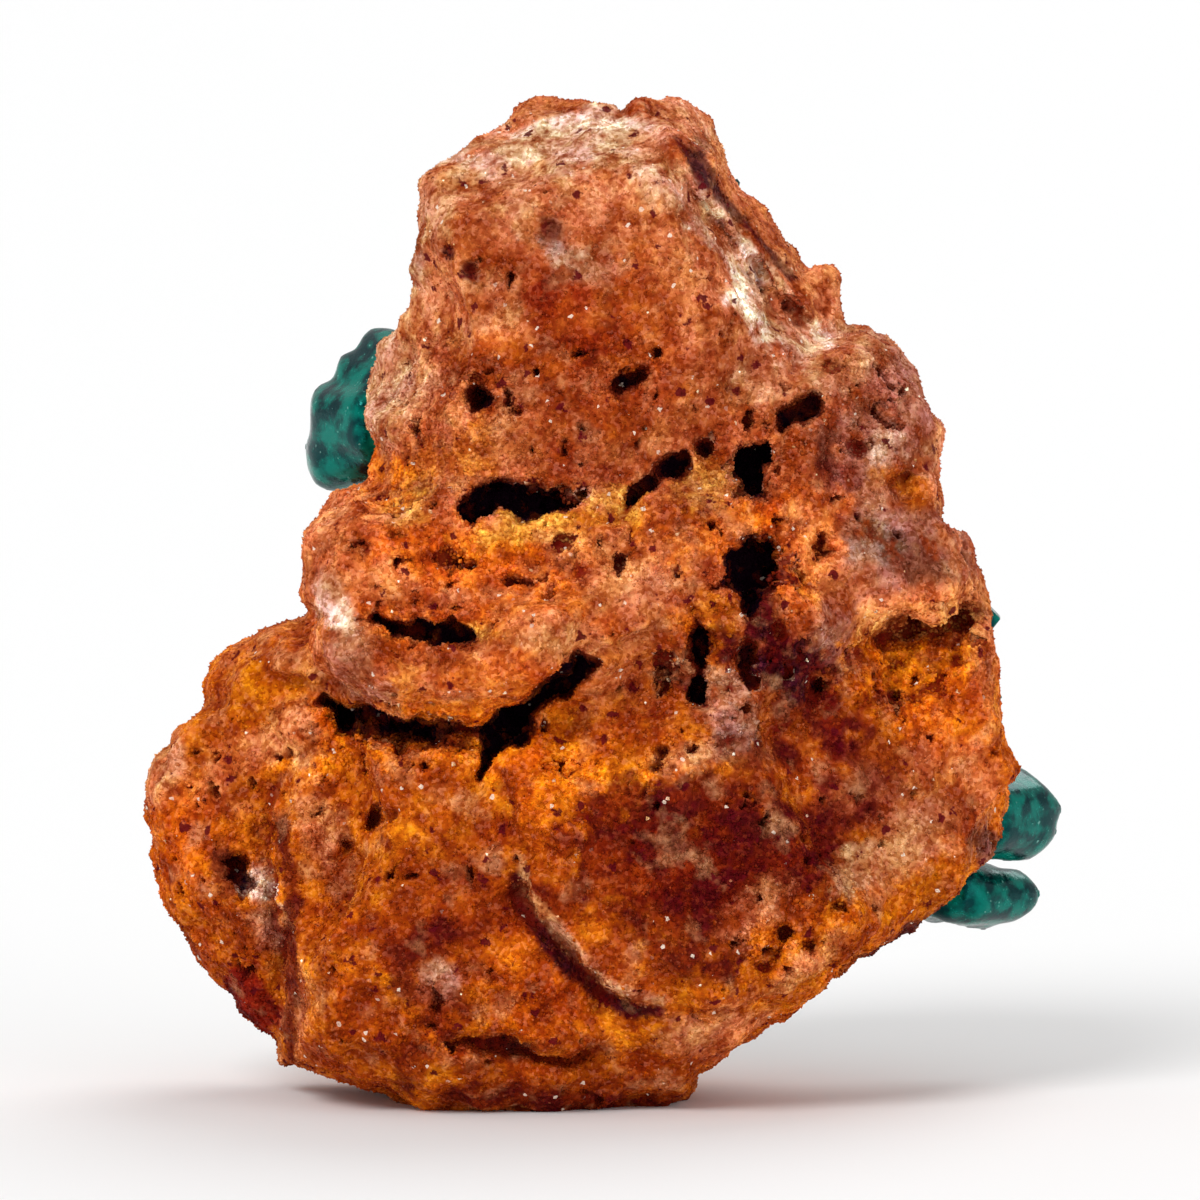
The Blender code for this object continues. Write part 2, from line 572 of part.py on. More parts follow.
def main():
    clear_scene()
    skin = thinned(sculpted_rock(), ROCK_TRIANGLES)
    skin_tree = tree_of(skin)
    groups = dict(EDGE_GROUPS)
    for name, spot in FAR_GROUPS.items():
        groups[name] = far_group(skin_tree, *spot)
    cutters = [ground_block()]
    for name, crystals in groups.items():
        cutters.append(new_object(f"{name}_socket", group_mesh(name, crystals, SOCKET_GAP)))
    rock = new_object("matrix", without_crumbs(cut_from(skin, cutters, "matrix")))
    rock.data.materials.append(material("iron_stained_rock", (0.45, 0.16, 0.05), 0.85))
    green = material("dioptase", (0.0, 0.2, 0.17), 0.15)
    for name, crystals in groups.items():
        crystal = new_object(name, group_mesh(name, crystals))
        crystal.data.materials.append(green)
    for obj in bpy.data.objects:
        obj.data.transform(Matrix.Translation((0, SETBACK * MM, 0)))


main()
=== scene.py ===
"""The looks of the dioptase on matrix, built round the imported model.

The rock follows the same lumps, chips, ledges and hollows as its solid, with a finer skin and its
grain. Lengths in the tables are millimetres, and MM turns them into Blender's metres.
"""

import itertools
import math
import random

import bmesh
import bpy
import numpy as np
from mathutils import Euler, Matrix, Vector, noise
from mathutils.bvhtree import BVHTree


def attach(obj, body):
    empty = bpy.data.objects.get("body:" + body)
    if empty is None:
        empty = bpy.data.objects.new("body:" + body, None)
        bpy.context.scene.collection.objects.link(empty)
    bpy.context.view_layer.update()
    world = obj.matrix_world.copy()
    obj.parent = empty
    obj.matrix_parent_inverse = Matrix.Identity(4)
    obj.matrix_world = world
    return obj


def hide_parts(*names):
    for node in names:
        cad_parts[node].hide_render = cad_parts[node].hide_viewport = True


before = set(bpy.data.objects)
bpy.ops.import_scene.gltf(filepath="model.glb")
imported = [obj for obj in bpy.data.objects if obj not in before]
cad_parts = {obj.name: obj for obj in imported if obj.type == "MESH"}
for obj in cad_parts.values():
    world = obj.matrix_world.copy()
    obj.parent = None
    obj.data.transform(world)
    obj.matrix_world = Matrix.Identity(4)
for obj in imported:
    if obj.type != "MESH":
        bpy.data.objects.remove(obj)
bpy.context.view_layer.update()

MM = 0.001

# ---- driving dimensions, as in the part ----
FACE_LEAN = math.radians(5)  # the broad face leans back this far from upright
FACE_MIDDLE = (0.0, 27.0)  # across and up the face, inside the outline
SKIN_VOXEL = 0.5  # grid that fuses the lumps
BRINK = 0.35  # how far a ledge takes to reach its height
SETBACK = -2.0  # moves the finished object along Y, so that the origin is in the middle

# ---- what is finer than the solids ----
FINE_VOXEL = 0.2  # grid of the rock's skin
FINE_TRIANGLES = 192000
PLAIN_THINNING = 1.0  # how much harder the rock is thinned away from its broad face
LUMP_SOFTENING = 8  # rounds of smoothing on the fused lumps
SKIN_SOFTENING = 2  # and on the finer skin
EDGE_WEAR = 0.1  # width of the crystals' worn edges
WELL_WORN = ("dioptase_left", "dioptase_right_upper", "dioptase_right_lower")
WORN_VOXEL = 0.3  # grid on which those are worn round
WORN_ROUNDS = 24  # of smoothing
WORN_AWAY = 0.3  # what the wear takes off them and is given back
GRAIN_COUNT = 22500  # in each band, at eight triangles a grain
GRAIN_SIZES = (0.1, 0.2)  # from a grain's middle to its tips
PAINTED_SPARKLE_GRAINS = 0.004  # the share of the grains that is clear quartz, painted cream as its sparkle
DRUSE_COUNT = 1100
DRUSE_SIZES = (0.16, 0.5)  # half widths
DRUSE_LENGTHS = (0.6, 2.4)  # from root to shoulder, in half widths
DRUSE_TIP = 0.7  # from shoulder to tip, in half widths
DRUSE_LEAN = 0.35
DRUSE_SPREAD = 4.2  # how far from a group its crust reaches
# Each piece of grains and the heights that it spans.
GRAIN_BANDS = {
    "grains_top": (36, 99),
    "grains_middle": (18, 36),
    "grains_foot": (-9, 18),
    "grains_behind": (-9, 99),
}

# ---- the view ----
CAMERA_DISTANCE = 1.0  # metres
VIEW_WIDTH = 72.0
VIEW_MIDDLE = (-0.06, 29.43)  # across and up the face, before the setback
FLOOR_REACH = 300.0  # metres from the object

# Lights: where each shines from in metres, how broad it is in degrees, and its strength.
LIGHTS = {
    "key": ((-0.28, -0.42, 0.5), 26, 1.45),
    "fill": ((0.5, -0.5, 0.2), 40, 0.48),
    "behind": ((0.2, 0.45, 0.6), 40, 0.9),
}
LIT_SPOT = (0, 0, 0.03)
AIR_GLOW = 0.55  # how strongly the air lights the object from all round
HORIZON = (0.03, 0.06)  # the rise of a line of sight over which the air dims from white

OUT_OF_FACE = np.array([0, -math.cos(FACE_LEAN), math.sin(FACE_LEAN)])
UP_FACE = np.array([0, math.sin(FACE_LEAN), math.cos(FACE_LEAN)])


def value_of(cell):
    """A number, or the numbers that commas join, such as across,up or x,y,z."""
    numbers = tuple(map(float, cell.split(",")))
    return numbers if len(numbers) > 1 else numbers[0]


def rows_of(table):
    """The table's rows, each a name and its values; a line that starts with # is a heading."""
    rows = [line.split() for line in table.split("\n") if line and line[0] != "#"]
    return [(name, *map(value_of, cells)) for name, *cells in rows]


# The rock's lumps: centre, half sizes, turns about X, Y and Z in degrees, and how square each one is.
LUMPS = rows_of("""
heart 0,0,28 19,12,25 0,0,0 2.2
crown -1.5,-1,43.5 12,11,16 0,0,0 2.6
rear_ridge 9.5,3.5,50.5 4.8,7,11 0,-38,0 2.3
shoulder 14,0.5,37 8.5,10,11.5 0,0,0 2.4
slab -6.5,-5.5,30.8 12.5,9.5,7 0,4,0 3.2
saddle 6,-4.5,31 11,9.5,9 0,0,0 2.6
left_lobe -18,1,15.5 10,9.5,13.5 0,15,0 2.4
belly -7.5,-3.5,12 12.5,11.5,14 0,0,0 2.8
apron 8,-3.5,14 14.5,12,14.5 0,-12,0 2.6
right_foot 18.5,1,21 8,9.5,10 0,0,0 2.4
far_side 0,4,29 18,8.5,23 0,0,0 2.3
far_swell -2,7,33 13,9,9 0,12,0 2.4
far_heel 5,6,14 13,9,9 0,-14,0 2.4
""")

# Flat chips broken off the lumps: a point on the broken face, the way it looks, and how far it reaches.
CHIPS = rows_of("""
crown_face -2,-10.6,45 -0.08,-1,0.24 17
crown_top -3,-3.5,57.2 -0.22,-0.5,0.84 9
crown_right 8.2,-5.5,50 0.78,-0.5,0.36 10
crown_left -10.8,-4.5,50 -0.85,-0.5,0.1 10
slab_face -7,-14.4,31 -0.1,-1,-0.06 12
saddle_face 6,-13.2,31 0.08,-1,0.08 10
belly_face -9,-14.4,13 -0.1,-1,0.2 14
apron_face 9,-14.6,15 0.2,-1,0.15 15
apron_edge 15,-8,7 0.62,-0.35,-0.7 10
lobe_face -21,-6.4,17 -0.4,-0.9,0.2 11
shoulder_face 16,-7.2,37 0.5,-0.85,0.2 10
foot_face 19.5,-7.6,21 0.42,-0.9,0.1 12
far_upper -3,10,46 -0.25,0.85,0.45 11
far_ridge 9,9,45 0.5,0.8,0.3 8
far_lower 9,12,17 0.35,0.9,-0.25 12
far_left -15,9,24 -0.6,0.78,0.1 10
far_lobe -17,10,11 -0.3,0.85,-0.35 10
right_side 22.5,3,26 0.95,0.2,0.15 9
""")

# The outline of the broad face, clockwise from the crest, as (across, up the face).
OUTLINE = [place for _, *places in rows_of("""
crest -4,59.4 -2.5,59.6 1.3,58.9 2.3,59.6 4,59.9 5.6,59.6 7,58.6
rear_ridge 8.9,54.6 11.9,50.8 12.4,49.7 13.9,49.4 14.9,46.1 16.1,46.1 18.1,44.6
shoulder 19.4,42.3 20.7,37.7 21,34.5 22.3,33 23.5,30.5 23.9,27.6 24.2,22.7
right_foot 25.8,19.1 23.8,13.8 19.7,10.5 15.5,7.7 11.9,4.3 10.1,3.6 5.8,0.6
foot 5.3,-0.4 3.5,-1.4 -11.5,-1.4 -13,-0.2 -15.4,0.8 -19,1.7
lobe -19.4,3.1 -23.3,6.4 -25,8.7 -26.5,11.8 -27.7,17.3 -27.1,19.5 -26,21.2 -23.9,23 -23.6,24.6 \
    -22.7,25.9
slab -18.2,28.7 -18.1,33.6 -16.4,36.5 -14.1,36.8
block -13.9,38.7 -14.6,40.7 -14.6,42.1 -12.1,47.4 -11.1,51 -10.7,54.5 -9.4,55.9 -5.3,58.3
""") for place in places]

# Ledges on the broad face: how far the raised side stands out, over what distance it fades, how deep
# the rock is cut in below, then the line of the brink, which has the raised side on its left.
LEDGES = [(line, height, fade, cut) for _, height, fade, cut, *line in rows_of("""
slab_foot 2 6 2 -15.5,23.6 -14.4,23.1 -9.7,22.1 -7.6,22.2 -4.9,23.3 -2.8,25.1 -0.7,26.1
flake 1.6 8 0.9 -4.7,14.4 -4.3,11.7 -2.5,9.6 -1,8.1 0.5,6.3 2.3,5.6 3.6,5.6
lobe_step 2 5 0.8 -19.3,19.5 -19.6,15.6 -19.1,11.4 -18.7,8.4 -19,5.4 -19.1,1.8
pocket_brow 0.9 3.5 1.8 15.8,27.5 16.5,28.1 17.9,28.3 20,28.1 21.8,29.2 23.2,29.6
crown_groove 0.9 5 0.9 2.6,57.6 5.3,54.4 8.6,50 11.5,46.4 15,45
foot_groove 0.7 2.5 1.6 -10.4,3.7 -7.4,3.8 -2.5,2.8 1.1,3
""")]

# Hollows in the broad face: depth, then the rim.
VUGS = [(depth, rim) for _, depth, *rim in rows_of("""
upper_slot 4.2 -8.4,34.3 -8.2,36.2 -5.4,36.2 -2,36.1 -0.7,35.3 -3.3,34.1 -6.5,34.6 -7.6,33.8
slanted_slot 2.6 1.4,34.8 3.4,36 5.4,37.5 6.6,38.6 5.6,38.9 3.2,37.3 1.3,35.8
block_hole 4.6 7.8,35.4 10.2,35.4 10.1,37.2 10.4,39.1 7.8,39 8,37
arched_hole 2.6 10.2,39.2 10.4,40.6 11.2,41.4 12.8,41.7 13.1,40.6 12.3,39.9 11.5,39.9 11,39.1
tall_hole 4.8 6.5,29.8 7.5,31.4 8,33 9,33.6 10.1,33.1 10.5,31 10.1,29.6 9.3,29.6 9.2,27.4 8.4,27.6 \
    8.4,30 7.5,30.3
side_slit 3.2 5.2,28.8 6.4,28 6.3,25.4 6.4,23.4 5,22.8 5.2,25.2
inner_slit 2.4 8.3,27.4 9.2,27 9.3,24.4 8.6,23.9 8.2,25.4
under_slab 4.4 -17.8,23.9 -14.8,23.3 -9.6,22.2 -9.7,21 -11.6,20.6 -12,19 -12.7,20.6 -16,22
dark_gash 4.6 -7.4,18.9 -7,21.8 -4.6,23.8 -2.7,25.5 -1.2,26.4 0.2,25.6 -1.4,24 -3.4,22.9 -5,21 -6.2,19.4
nick 2.8 -7.7,42.4 -8.4,41 -8,39.6 -7.2,40.1 -6.4,41.4 -6.8,42.3
short_slit 2.2 0.2,42.1 1.4,43.2 2.7,43.6 2.4,42.5 1,41.4
slab_slot 3 -14.3,28.3 -12.4,28.7 -10.2,27.9 -8.6,28.6 -6.7,27.6 -7.4,27.1 -9.6,26.8 -12.2,27.2
lobe_hole 2.6 -22.6,13.9 -21.4,14.4 -20.6,12 -21.6,11.3
lobe_slit 1.8 -15.3,15.3 -13.6,16.9 -12.2,17.2 -12.4,16.4 -13.8,15.7 -15,14.8
ochre_pocket 1.9 16,27.8 20,28.2 22,28.6 21.8,26 19.5,23.2 17,23
""")]

# Round pits in the broad face: across, up, radius, depth.
PITS = [
    (-9.1, 50.1, 0.45, 0.7), (-8.0, 48.8, 0.55, 0.9), (13.2, 43.2, 0.8, 0.8), (18.2, 36.0, 0.9, 0.9),
    (13.7, 11.1, 0.55, 1.2), (10.7, 9.9, 0.6, 1.3), (10.0, 8.6, 0.5, 1.1), (12.0, 8.7, 0.6, 1.2),
    (5.7, 4.7, 0.6, 1.0), (-2.4, 32.7, 0.45, 0.7), (-9.6, 32.1, 0.6, 0.8), (15.6, 38.4, 0.6, 0.8),
    (21.0, 27.0, 0.5, 0.7), (14.1, 20.8, 0.5, 0.6), (-14.3, 32.6, 0.4, 0.5), (4.4, 31.4, 0.4, 0.6),
    (3.8, 25.5, 0.6, 1.0), (10.6, 27.4, 0.6, 1.0), (11.6, 25.6, 0.8, 1.0), (12.6, 23.8, 0.5, 0.8),
    (-15.9, 14.2, 0.6, 0.7), (1.6, 33.0, 0.4, 0.6), (-10.9, 39.0, 0.5, 0.7), (16.3, 33.6, 0.4, 0.6),
]

STRAY_PITS = 46  # hollows scattered over the other sides
STRAY_SEED = 11
STRAY_RADII = (0.7, 2.2)
STRAY_DEPTHS = (0.4, 0.9)  # in radii
STRAY_HEIGHTS = (0.45, 1.0)  # in radii
WOBBLES = [(0.5, 0.5), (0.3, 1.3)]  # how far rims wander, and how many times in a millimetre
NOISE_SEED = 5  # picks the rock's crags and the wobble of its rims
VUG_WALL = 0.5  # how far in from its rim a hollow reaches its depth

# Relief of the rock: height and spacing.
SWELLS = (0.9, 10.0)
SEAMS = (0.3, 5.0)  # grooves between knobs
CRAGS = (0.4, 4.5)
FAR_RELIEF = 0.9  # how much of the relief the far side has on top
FINE_KNOBS = (0.3, 3.2)
FINE_CRAGS = (0.22, 1.5)
FINE_GRAIN = (0.12, 0.7)
FINE_PITS = (1.1, 1.1)
CREASE_DEPTH = 0.22  # how far below its surroundings a full crease lies

# Crumbly patches of the broad face: across, up, half width, half height, strength.
CRUMBLY = [
    (-4.0, 33.6, 14.0, 4.6, 0.9),
    (-8.5, 41.0, 4.5, 4.5, 0.9),
    (1.0, 43.0, 4.0, 2.6, 0.7),
    (9.5, 33.0, 5.0, 9.5, 1.0),
    (9.6, 25.0, 7.5, 4.0, 1.0),
    (19.4, 25.6, 4.4, 4.2, 1.0),
    (-11.5, 21.2, 8.5, 3.0, 1.0),
    (-10.5, 27.8, 5.5, 2.4, 0.9),
    (0.0, 19.0, 9.0, 5.0, 0.7),
    (11.5, 9.5, 4.6, 3.6, 0.9),
    (15.4, 39.6, 3.2, 5.4, 0.8),
    (-20.5, 15.0, 6.0, 8.0, 0.45),
    (-8.0, 5.0, 6.0, 3.0, 0.6),
    (8.0, 14.0, 9.0, 5.0, 0.55),
]


def new_object(name, mesh):
    obj = bpy.data.objects.new(name, mesh)
    bpy.context.scene.collection.objects.link(obj)
    return obj


def with_settings(thing, settings):
    for key, value in settings.items():
        setattr(thing, key, value)
    return thing


def modify(obj, kind, **settings):
    with_settings(obj.modifiers.new(kind.lower(), kind), settings)


def mesh_of(bm, name):
    """A new mesh of what bm holds; bm itself is freed."""
    mesh = bpy.data.meshes.new(name)
    bm.to_mesh(mesh)
    bm.free()
    return mesh


def evaluated_mesh(obj, name):
    """A new mesh with obj's modifiers applied; obj itself is removed."""
    graph = bpy.context.evaluated_depsgraph_get()
    mesh = bpy.data.meshes.new_from_object(obj.evaluated_get(graph))
    mesh.name = name
    bpy.data.objects.remove(obj)
    return mesh


def numbers_of(items, name, width, kind=float):
    """One property of many Blender items, as rows of width numbers."""
    found = np.empty(len(items) * width, kind)
    items.foreach_get(name, found)
    return found.reshape(-1, width) if width > 1 else found


def vertex_places(mesh):
    """The vertices as rows of x, y and z in millimetres."""
    return numbers_of(mesh.vertices, "co", 3) / MM


def vertex_normals(mesh):
    return numbers_of(mesh.vertex_normals, "vector", 3)


def move_vertices(mesh, places):
    mesh.vertices.foreach_set("co", (places * MM).ravel())
    mesh.update()


def reshape(mesh, change):
    """Moves the vertices to where change puts them, given their places and the ways that they face."""
    move_vertices(mesh, change(vertex_places(mesh), vertex_normals(mesh)))


def smoothstep(low, high, value):
    share = np.clip((value - low) / (high - low), 0, 1)
    return share * share * (3 - 2 * share)


# ---- the rock ----


def add_lump(bm, centre, half_sizes, turns, squareness):
    """A rounded block: a sphere squared off towards its box, sized, turned and put in place."""
    made = bmesh.ops.create_icosphere(bm, subdivisions=4, radius=1)["verts"]
    for vert in made:
        vert.co /= sum(abs(c) ** squareness for c in vert.co) ** (1 / squareness)
    turned = Euler([math.radians(t) for t in turns]).to_matrix().to_4x4()
    sized = Matrix.Diagonal([half * MM for half in half_sizes] + [1])
    bmesh.ops.transform(bm, matrix=Matrix.Translation(Vector(centre) * MM) @ turned @ sized, verts=made)


def reskinned(mesh, voxel, softening):
    """The mesh covered again in even faces about voxel across, softened by rounds of smoothing."""
    obj = new_object("skin", mesh)
    modify(obj, "REMESH", mode="VOXEL", voxel_size=voxel * MM)
    modify(obj, "SMOOTH", factor=0.5, iterations=softening)
    return evaluated_mesh(obj, "rock")


def fused_lumps():
    bm = bmesh.new()
    for _, *lump in LUMPS:
        add_lump(bm, *lump)
    return reskinned(mesh_of(bm, "lumps"), SKIN_VOXEL, LUMP_SOFTENING)


def on_face(places):
    """Places as (across, up the face)."""
    return np.stack([places[:, 0], places @ UP_FACE], axis=1)


def fit_to_outline(places):
    """Stretches the rock across and up the face until its edge follows OUTLINE."""
    flat = on_face(places) - FACE_MIDDLE
    turn = np.arctan2(flat[:, 1], flat[:, 0])
    reach = np.hypot(*flat.T)
    slots = 200
    widest = np.zeros(slots)
    np.maximum.at(widest, ((turn / (2 * math.pi) + 0.5) * slots).astype(int) % slots, reach)
    widest = (np.roll(widest, 1) + 2 * widest + np.roll(widest, -1)) / 4
    slot_turns = (np.arange(slots) + 0.5) / slots * 2 * math.pi - math.pi
    have = np.interp(turn, slot_turns, widest, period=2 * math.pi)
    edge = np.array(OUTLINE) - FACE_MIDDLE
    wanted = np.interp(turn, np.arctan2(edge[:, 1], edge[:, 0]), np.hypot(*edge.T), period=2 * math.pi)
    stretch = 1 + (wanted / have - 1) * np.clip(reach / have, 0, 1) ** 2
    moved = flat * (stretch - 1)[:, None]
    return places + np.outer(moved[:, 0], [1, 0, 0]) + np.outer(moved[:, 1], UP_FACE)


def to_line(flat, line, closed=False):
    """Distance from each flat place to a line, and 1 if it is on the line's left or -1 on its right."""
    corners = np.array(line + line[:1] if closed else line, float)
    nearest = np.full(len(flat), 1e9)
    side = np.ones(len(flat))
    for start, end in zip(corners[:-1], corners[1:]):
        along = end - start
        offset = flat - start
        share = np.clip(offset @ along / (along @ along), 0, 1)
        gap = np.hypot(*(offset - share[:, None] * along).T)
        closer = gap < nearest - 1e-9
        nearest = np.where(closer, gap, nearest)
        side = np.where(closer, np.sign(along[0] * offset[:, 1] - along[1] * offset[:, 0]), side)
    return nearest, side


def inside(flat, rim):
    """Whether each flat place is within the closed rim."""
    crossings = np.zeros(len(flat), int)
    for (x0, y0), (x1, y1) in zip(rim, rim[1:] + rim[:1]):
        if y0 != y1:
            spans = (flat[:, 1] > min(y0, y1)) & (flat[:, 1] <= max(y0, y1))
            crossings += spans & (flat[:, 0] < x0 + (flat[:, 1] - y0) * (x1 - x0) / (y1 - y0))
    return crossings % 2 == 1


def ledge_height(flat, brink, height, fade, cut):
    """How far a ledge moves each place out of the face."""
    gap, side = to_line(flat, brink)
    from_ends = np.minimum(*(np.hypot(*(flat - end).T) for end in (brink[0], brink[-1])))
    span = math.dist(brink[0], brink[-1])
    kept = smoothstep(0, 0.25 * span, from_ends) * (1 - smoothstep(0.8 * fade, fade, gap))
    raised = height * smoothstep(0, BRINK, gap) * (1 - smoothstep(0.2 * fade, fade, gap))
    lowered = -cut * (1 - smoothstep(0.2, 1.6, gap))
    return np.where(side > 0, raised, lowered) * kept


def vug_depth(flat, ragged, depth, rim):
    """How far a hollow moves each place into the rock, inside a rim that wanders with ragged."""
    gap, _ = to_line(flat, rim, closed=True)
    within = np.where(inside(flat, rim), gap, -gap) + ragged
    return depth * smoothstep(0, VUG_WALL, within)


def wobbled(places):
    """The places shifted a little this way and that, so that what is carved there gets uneven rims."""
    moved = places
    for reach, pace in WOBBLES:
        moved = moved + reach * np.array([noise.noise_vector(Vector(place) * pace) for place in places])
    return moved


def carve_face(places, normals):
    """Raises the ledges and sinks the hollows of the broad face."""
    flat = on_face(wobbled(places))
    ragged = 0.42 * layered_noise(places, 0.9, seed=90) + 0.08
    out = sum(ledge_height(flat, *ledge) for ledge in LEDGES)
    for vug in VUGS:
        out = out - vug_depth(flat, ragged, *vug)
    for across, up, radius, depth in PITS:
        gap = np.hypot(*(flat - (across, up)).T) - ragged
        out = out - depth * (1 - smoothstep(0.3 * radius, 1.1 * radius, gap))
    facing = smoothstep(0.0, 0.35, normals @ OUT_OF_FACE)
    return places + np.outer(out * facing, OUT_OF_FACE)


def carve_other_sides(places, normals):
    """Scatters hollows over the other sides, each where a line from the heart leaves the rock."""
    heart = np.array([0, 0, 28.0])
    draw = random.Random(STRAY_SEED)
    moved = places.copy()
    for _ in range(STRAY_PITS):
        way = np.array([draw.gauss(0, 1), abs(draw.gauss(0, 1)) - 0.4, draw.gauss(0, 1)])
        way /= np.linalg.norm(way)
        radius = draw.uniform(*STRAY_RADII)
        depth = radius * draw.uniform(*STRAY_DEPTHS)
        long = draw.uniform(*STRAY_HEIGHTS)
        reach = (places - heart) @ way
        beside = np.linalg.norm(places - heart - np.outer(reach, way), axis=1)
        spot = places[np.argmax(np.where(beside < 1.2, reach, -1e9))]
        off = (places - spot) / [1, 1, long]
        gap = np.linalg.norm(off, axis=1)
        sunk = depth * (1 - smoothstep(0.25 * radius, radius, gap))
        aside = 1 - smoothstep(0.1, 0.5, normals @ OUT_OF_FACE)
        moved -= normals * (sunk * aside)[:, None]
    return moved


def chip(places):
    """Presses whatever stands beyond each broken face back onto it."""
    for _, point, way, reach in CHIPS:
        way = np.array(way) / np.linalg.norm(way)
        offset = places - point
        held = 1 - smoothstep(0.75 * reach, reach, np.linalg.norm(offset, axis=1))
        places = places - np.outer(np.maximum(offset @ way, 0) * held, way)
    return places


def roughen(places, normals):
    """Knobs, crags and hollows of several sizes along the surface normal, strongest on the far side."""
    bumps = []
    for place in places:
        spot = Vector(place)
        bent = spot + noise.noise_vector(spot * 0.2) * 2.0
        swell = noise.fractal(spot / SWELLS[1], 0.9, 2.1, 3)
        near, next_near = noise.voronoi(bent / SEAMS[1])[0][:2]
        seam = min((next_near - near) / 0.3, 1) - 1
        crag = noise.ridged_multi_fractal(spot / CRAGS[1], 0.9, 2.2, 3, 1.0, 2.0) - 1.2
        bumps.append(SWELLS[0] * swell + SEAMS[0] * seam + CRAGS[0] * crag)
    strength = 1 + FAR_RELIEF * smoothstep(0, 0.6, -normals @ OUT_OF_FACE)
    return places + normals * (np.array(bumps) * strength)[:, None]


def rough_rock():
    """The rock's whole form before anything is carved into it, as in the part."""
    noise.seed_set(NOISE_SEED)
    mesh = fused_lumps()
    move_vertices(mesh, fit_to_outline(vertex_places(mesh)))
    move_vertices(mesh, chip(vertex_places(mesh)))
    move_vertices(mesh, fit_to_outline(vertex_places(mesh)))
    reshape(mesh, roughen)
    return mesh


def carved_rock(mesh):
    """The same form with a finer skin, its ledges and hollows carved, and its small relief."""
    mesh = reskinned(mesh.copy(), FINE_VOXEL, SKIN_SOFTENING)
    reshape(mesh, carve_other_sides)
    reshape(mesh, carve_face)
    mesh = reskinned(mesh, FINE_VOXEL, SKIN_SOFTENING)
    reshape(mesh, fine_relief)
    return thinned(mesh, FINE_TRIANGLES)


# ---- noise worked out for whole arrays of places at once ----


def cell_number(cell, seed):
    """A number from 0 to 1 for each whole-numbered cell, the same on every run."""
    x, y, z = cell.astype(np.int64).T & 0x1FFFFF
    mixed = (x * 73856093) ^ (y * 19349663) ^ (z * 83492791) ^ (seed * 40503)
    mixed = ((mixed ^ (mixed >> 15)) & 0x7FFFFFFF) * 668265263
    mixed = ((mixed ^ (mixed >> 13)) & 0x7FFFFFFF) * 374761393
    return ((mixed ^ (mixed >> 16)) & 0xFFFFFF) / 0xFFFFFF


def soft_noise(places, size, seed):
    """Smooth noise from -1 to 1 whose swells are about size across."""
    at = places / size
    cell = np.floor(at)
    share = smoothstep(0, 1, at - cell)
    total = np.zeros(len(places))
    for corner in itertools.product((0, 1), repeat=3):
        weight = np.prod(np.where(corner, share, 1 - share), axis=1)
        total += weight * cell_number(cell + corner, seed)
    return 2 * total - 1


def layered_noise(places, size, seed, layers=3):
    """Soft noise with finer layers on top, each half the size and strength of the one before."""
    return sum(soft_noise(places, size / 2**i, seed + i) / 2**i for i in range(layers))


def nearest_grain(places, size, seed):
    """How far each place is from the nearest of many scattered points about size apart."""
    at = places / size
    cell = np.floor(at)
    nearest = np.full(len(places), np.inf)
    for step in itertools.product((-1, 0, 1), repeat=3):
        near = cell + step
        spot = near + np.stack([cell_number(near, seed + i) for i in range(3)], axis=1)
        nearest = np.minimum(np.linalg.norm(at - spot, axis=1), nearest)
    return nearest


# ---- the rock's skin ----


def patch_share(flat, ragged, across, up, half_width, half_height, turn):
    """1 in the middle of an oval patch, falling to 0 outside its ragged edge."""
    turn = math.radians(turn)
    offset = flat - (across, up)
    along = offset @ (math.cos(turn), math.sin(turn)) / half_width
    over = offset @ (-math.sin(turn), math.cos(turn)) / half_height
    return 1 - smoothstep(0.55, 1.25, np.hypot(along, over) + ragged)


def crumbly_share(places, normals):
    """How crumbly and full of little pits the rock is, from 0 to 1."""
    flat = on_face(places)
    ragged = 0.3 * layered_noise(places, 2.4, seed=80)
    share = np.full(len(places), 0.18)
    for *patch, strength in CRUMBLY:
        share = np.maximum(share, strength * patch_share(flat, ragged, *patch, 0))
    share *= 1 - 0.8 * smoothstep(38, 44, flat[:, 1] + 5 * ragged) * (share < 0.5)
    behind = smoothstep(0, 0.5, -normals @ OUT_OF_FACE)
    return share + behind * (0.45 - share)


def fine_relief(places, normals):
    """Knobs, sugary grains and ragged little pits."""
    crumbly = crumbly_share(places, normals)
    knobs = FINE_KNOBS[0] * layered_noise(places, FINE_KNOBS[1], seed=22)
    crags = np.abs(layered_noise(places, FINE_CRAGS[1], seed=26, layers=2))
    crags = FINE_CRAGS[0] * (0.4 + crumbly) * crags
    grain = 0.5 - np.minimum(nearest_grain(places, FINE_GRAIN[1], seed=30), 0.9)
    grain = FINE_GRAIN[0] * (0.5 + 0.7 * crumbly) * grain
    broken = layered_noise(places, FINE_PITS[1], seed=50)
    pits = FINE_PITS[0] * smoothstep(0.0, 0.25, broken - 0.95 + 0.45 * crumbly)
    return places + normals * (knobs - crags + grain - pits)[:, None]


def thinned(mesh, triangles):
    """The mesh in fewer triangles, most of them spent on the broad face."""
    obj = new_object("thinned", mesh)
    turned_away = 1 - 0.4 * smoothstep(-0.2, 0.4, vertex_normals(mesh) @ OUT_OF_FACE)
    plain = obj.vertex_groups.new(name="plain")
    for index, share in enumerate(turned_away):
        plain.add([index], share, "REPLACE")
    ratio = triangles / (2 * len(mesh.polygons))
    modify(obj, "DECIMATE", ratio=ratio, vertex_group=plain.name, vertex_group_factor=PLAIN_THINNING)
    return evaluated_mesh(obj, "rock")


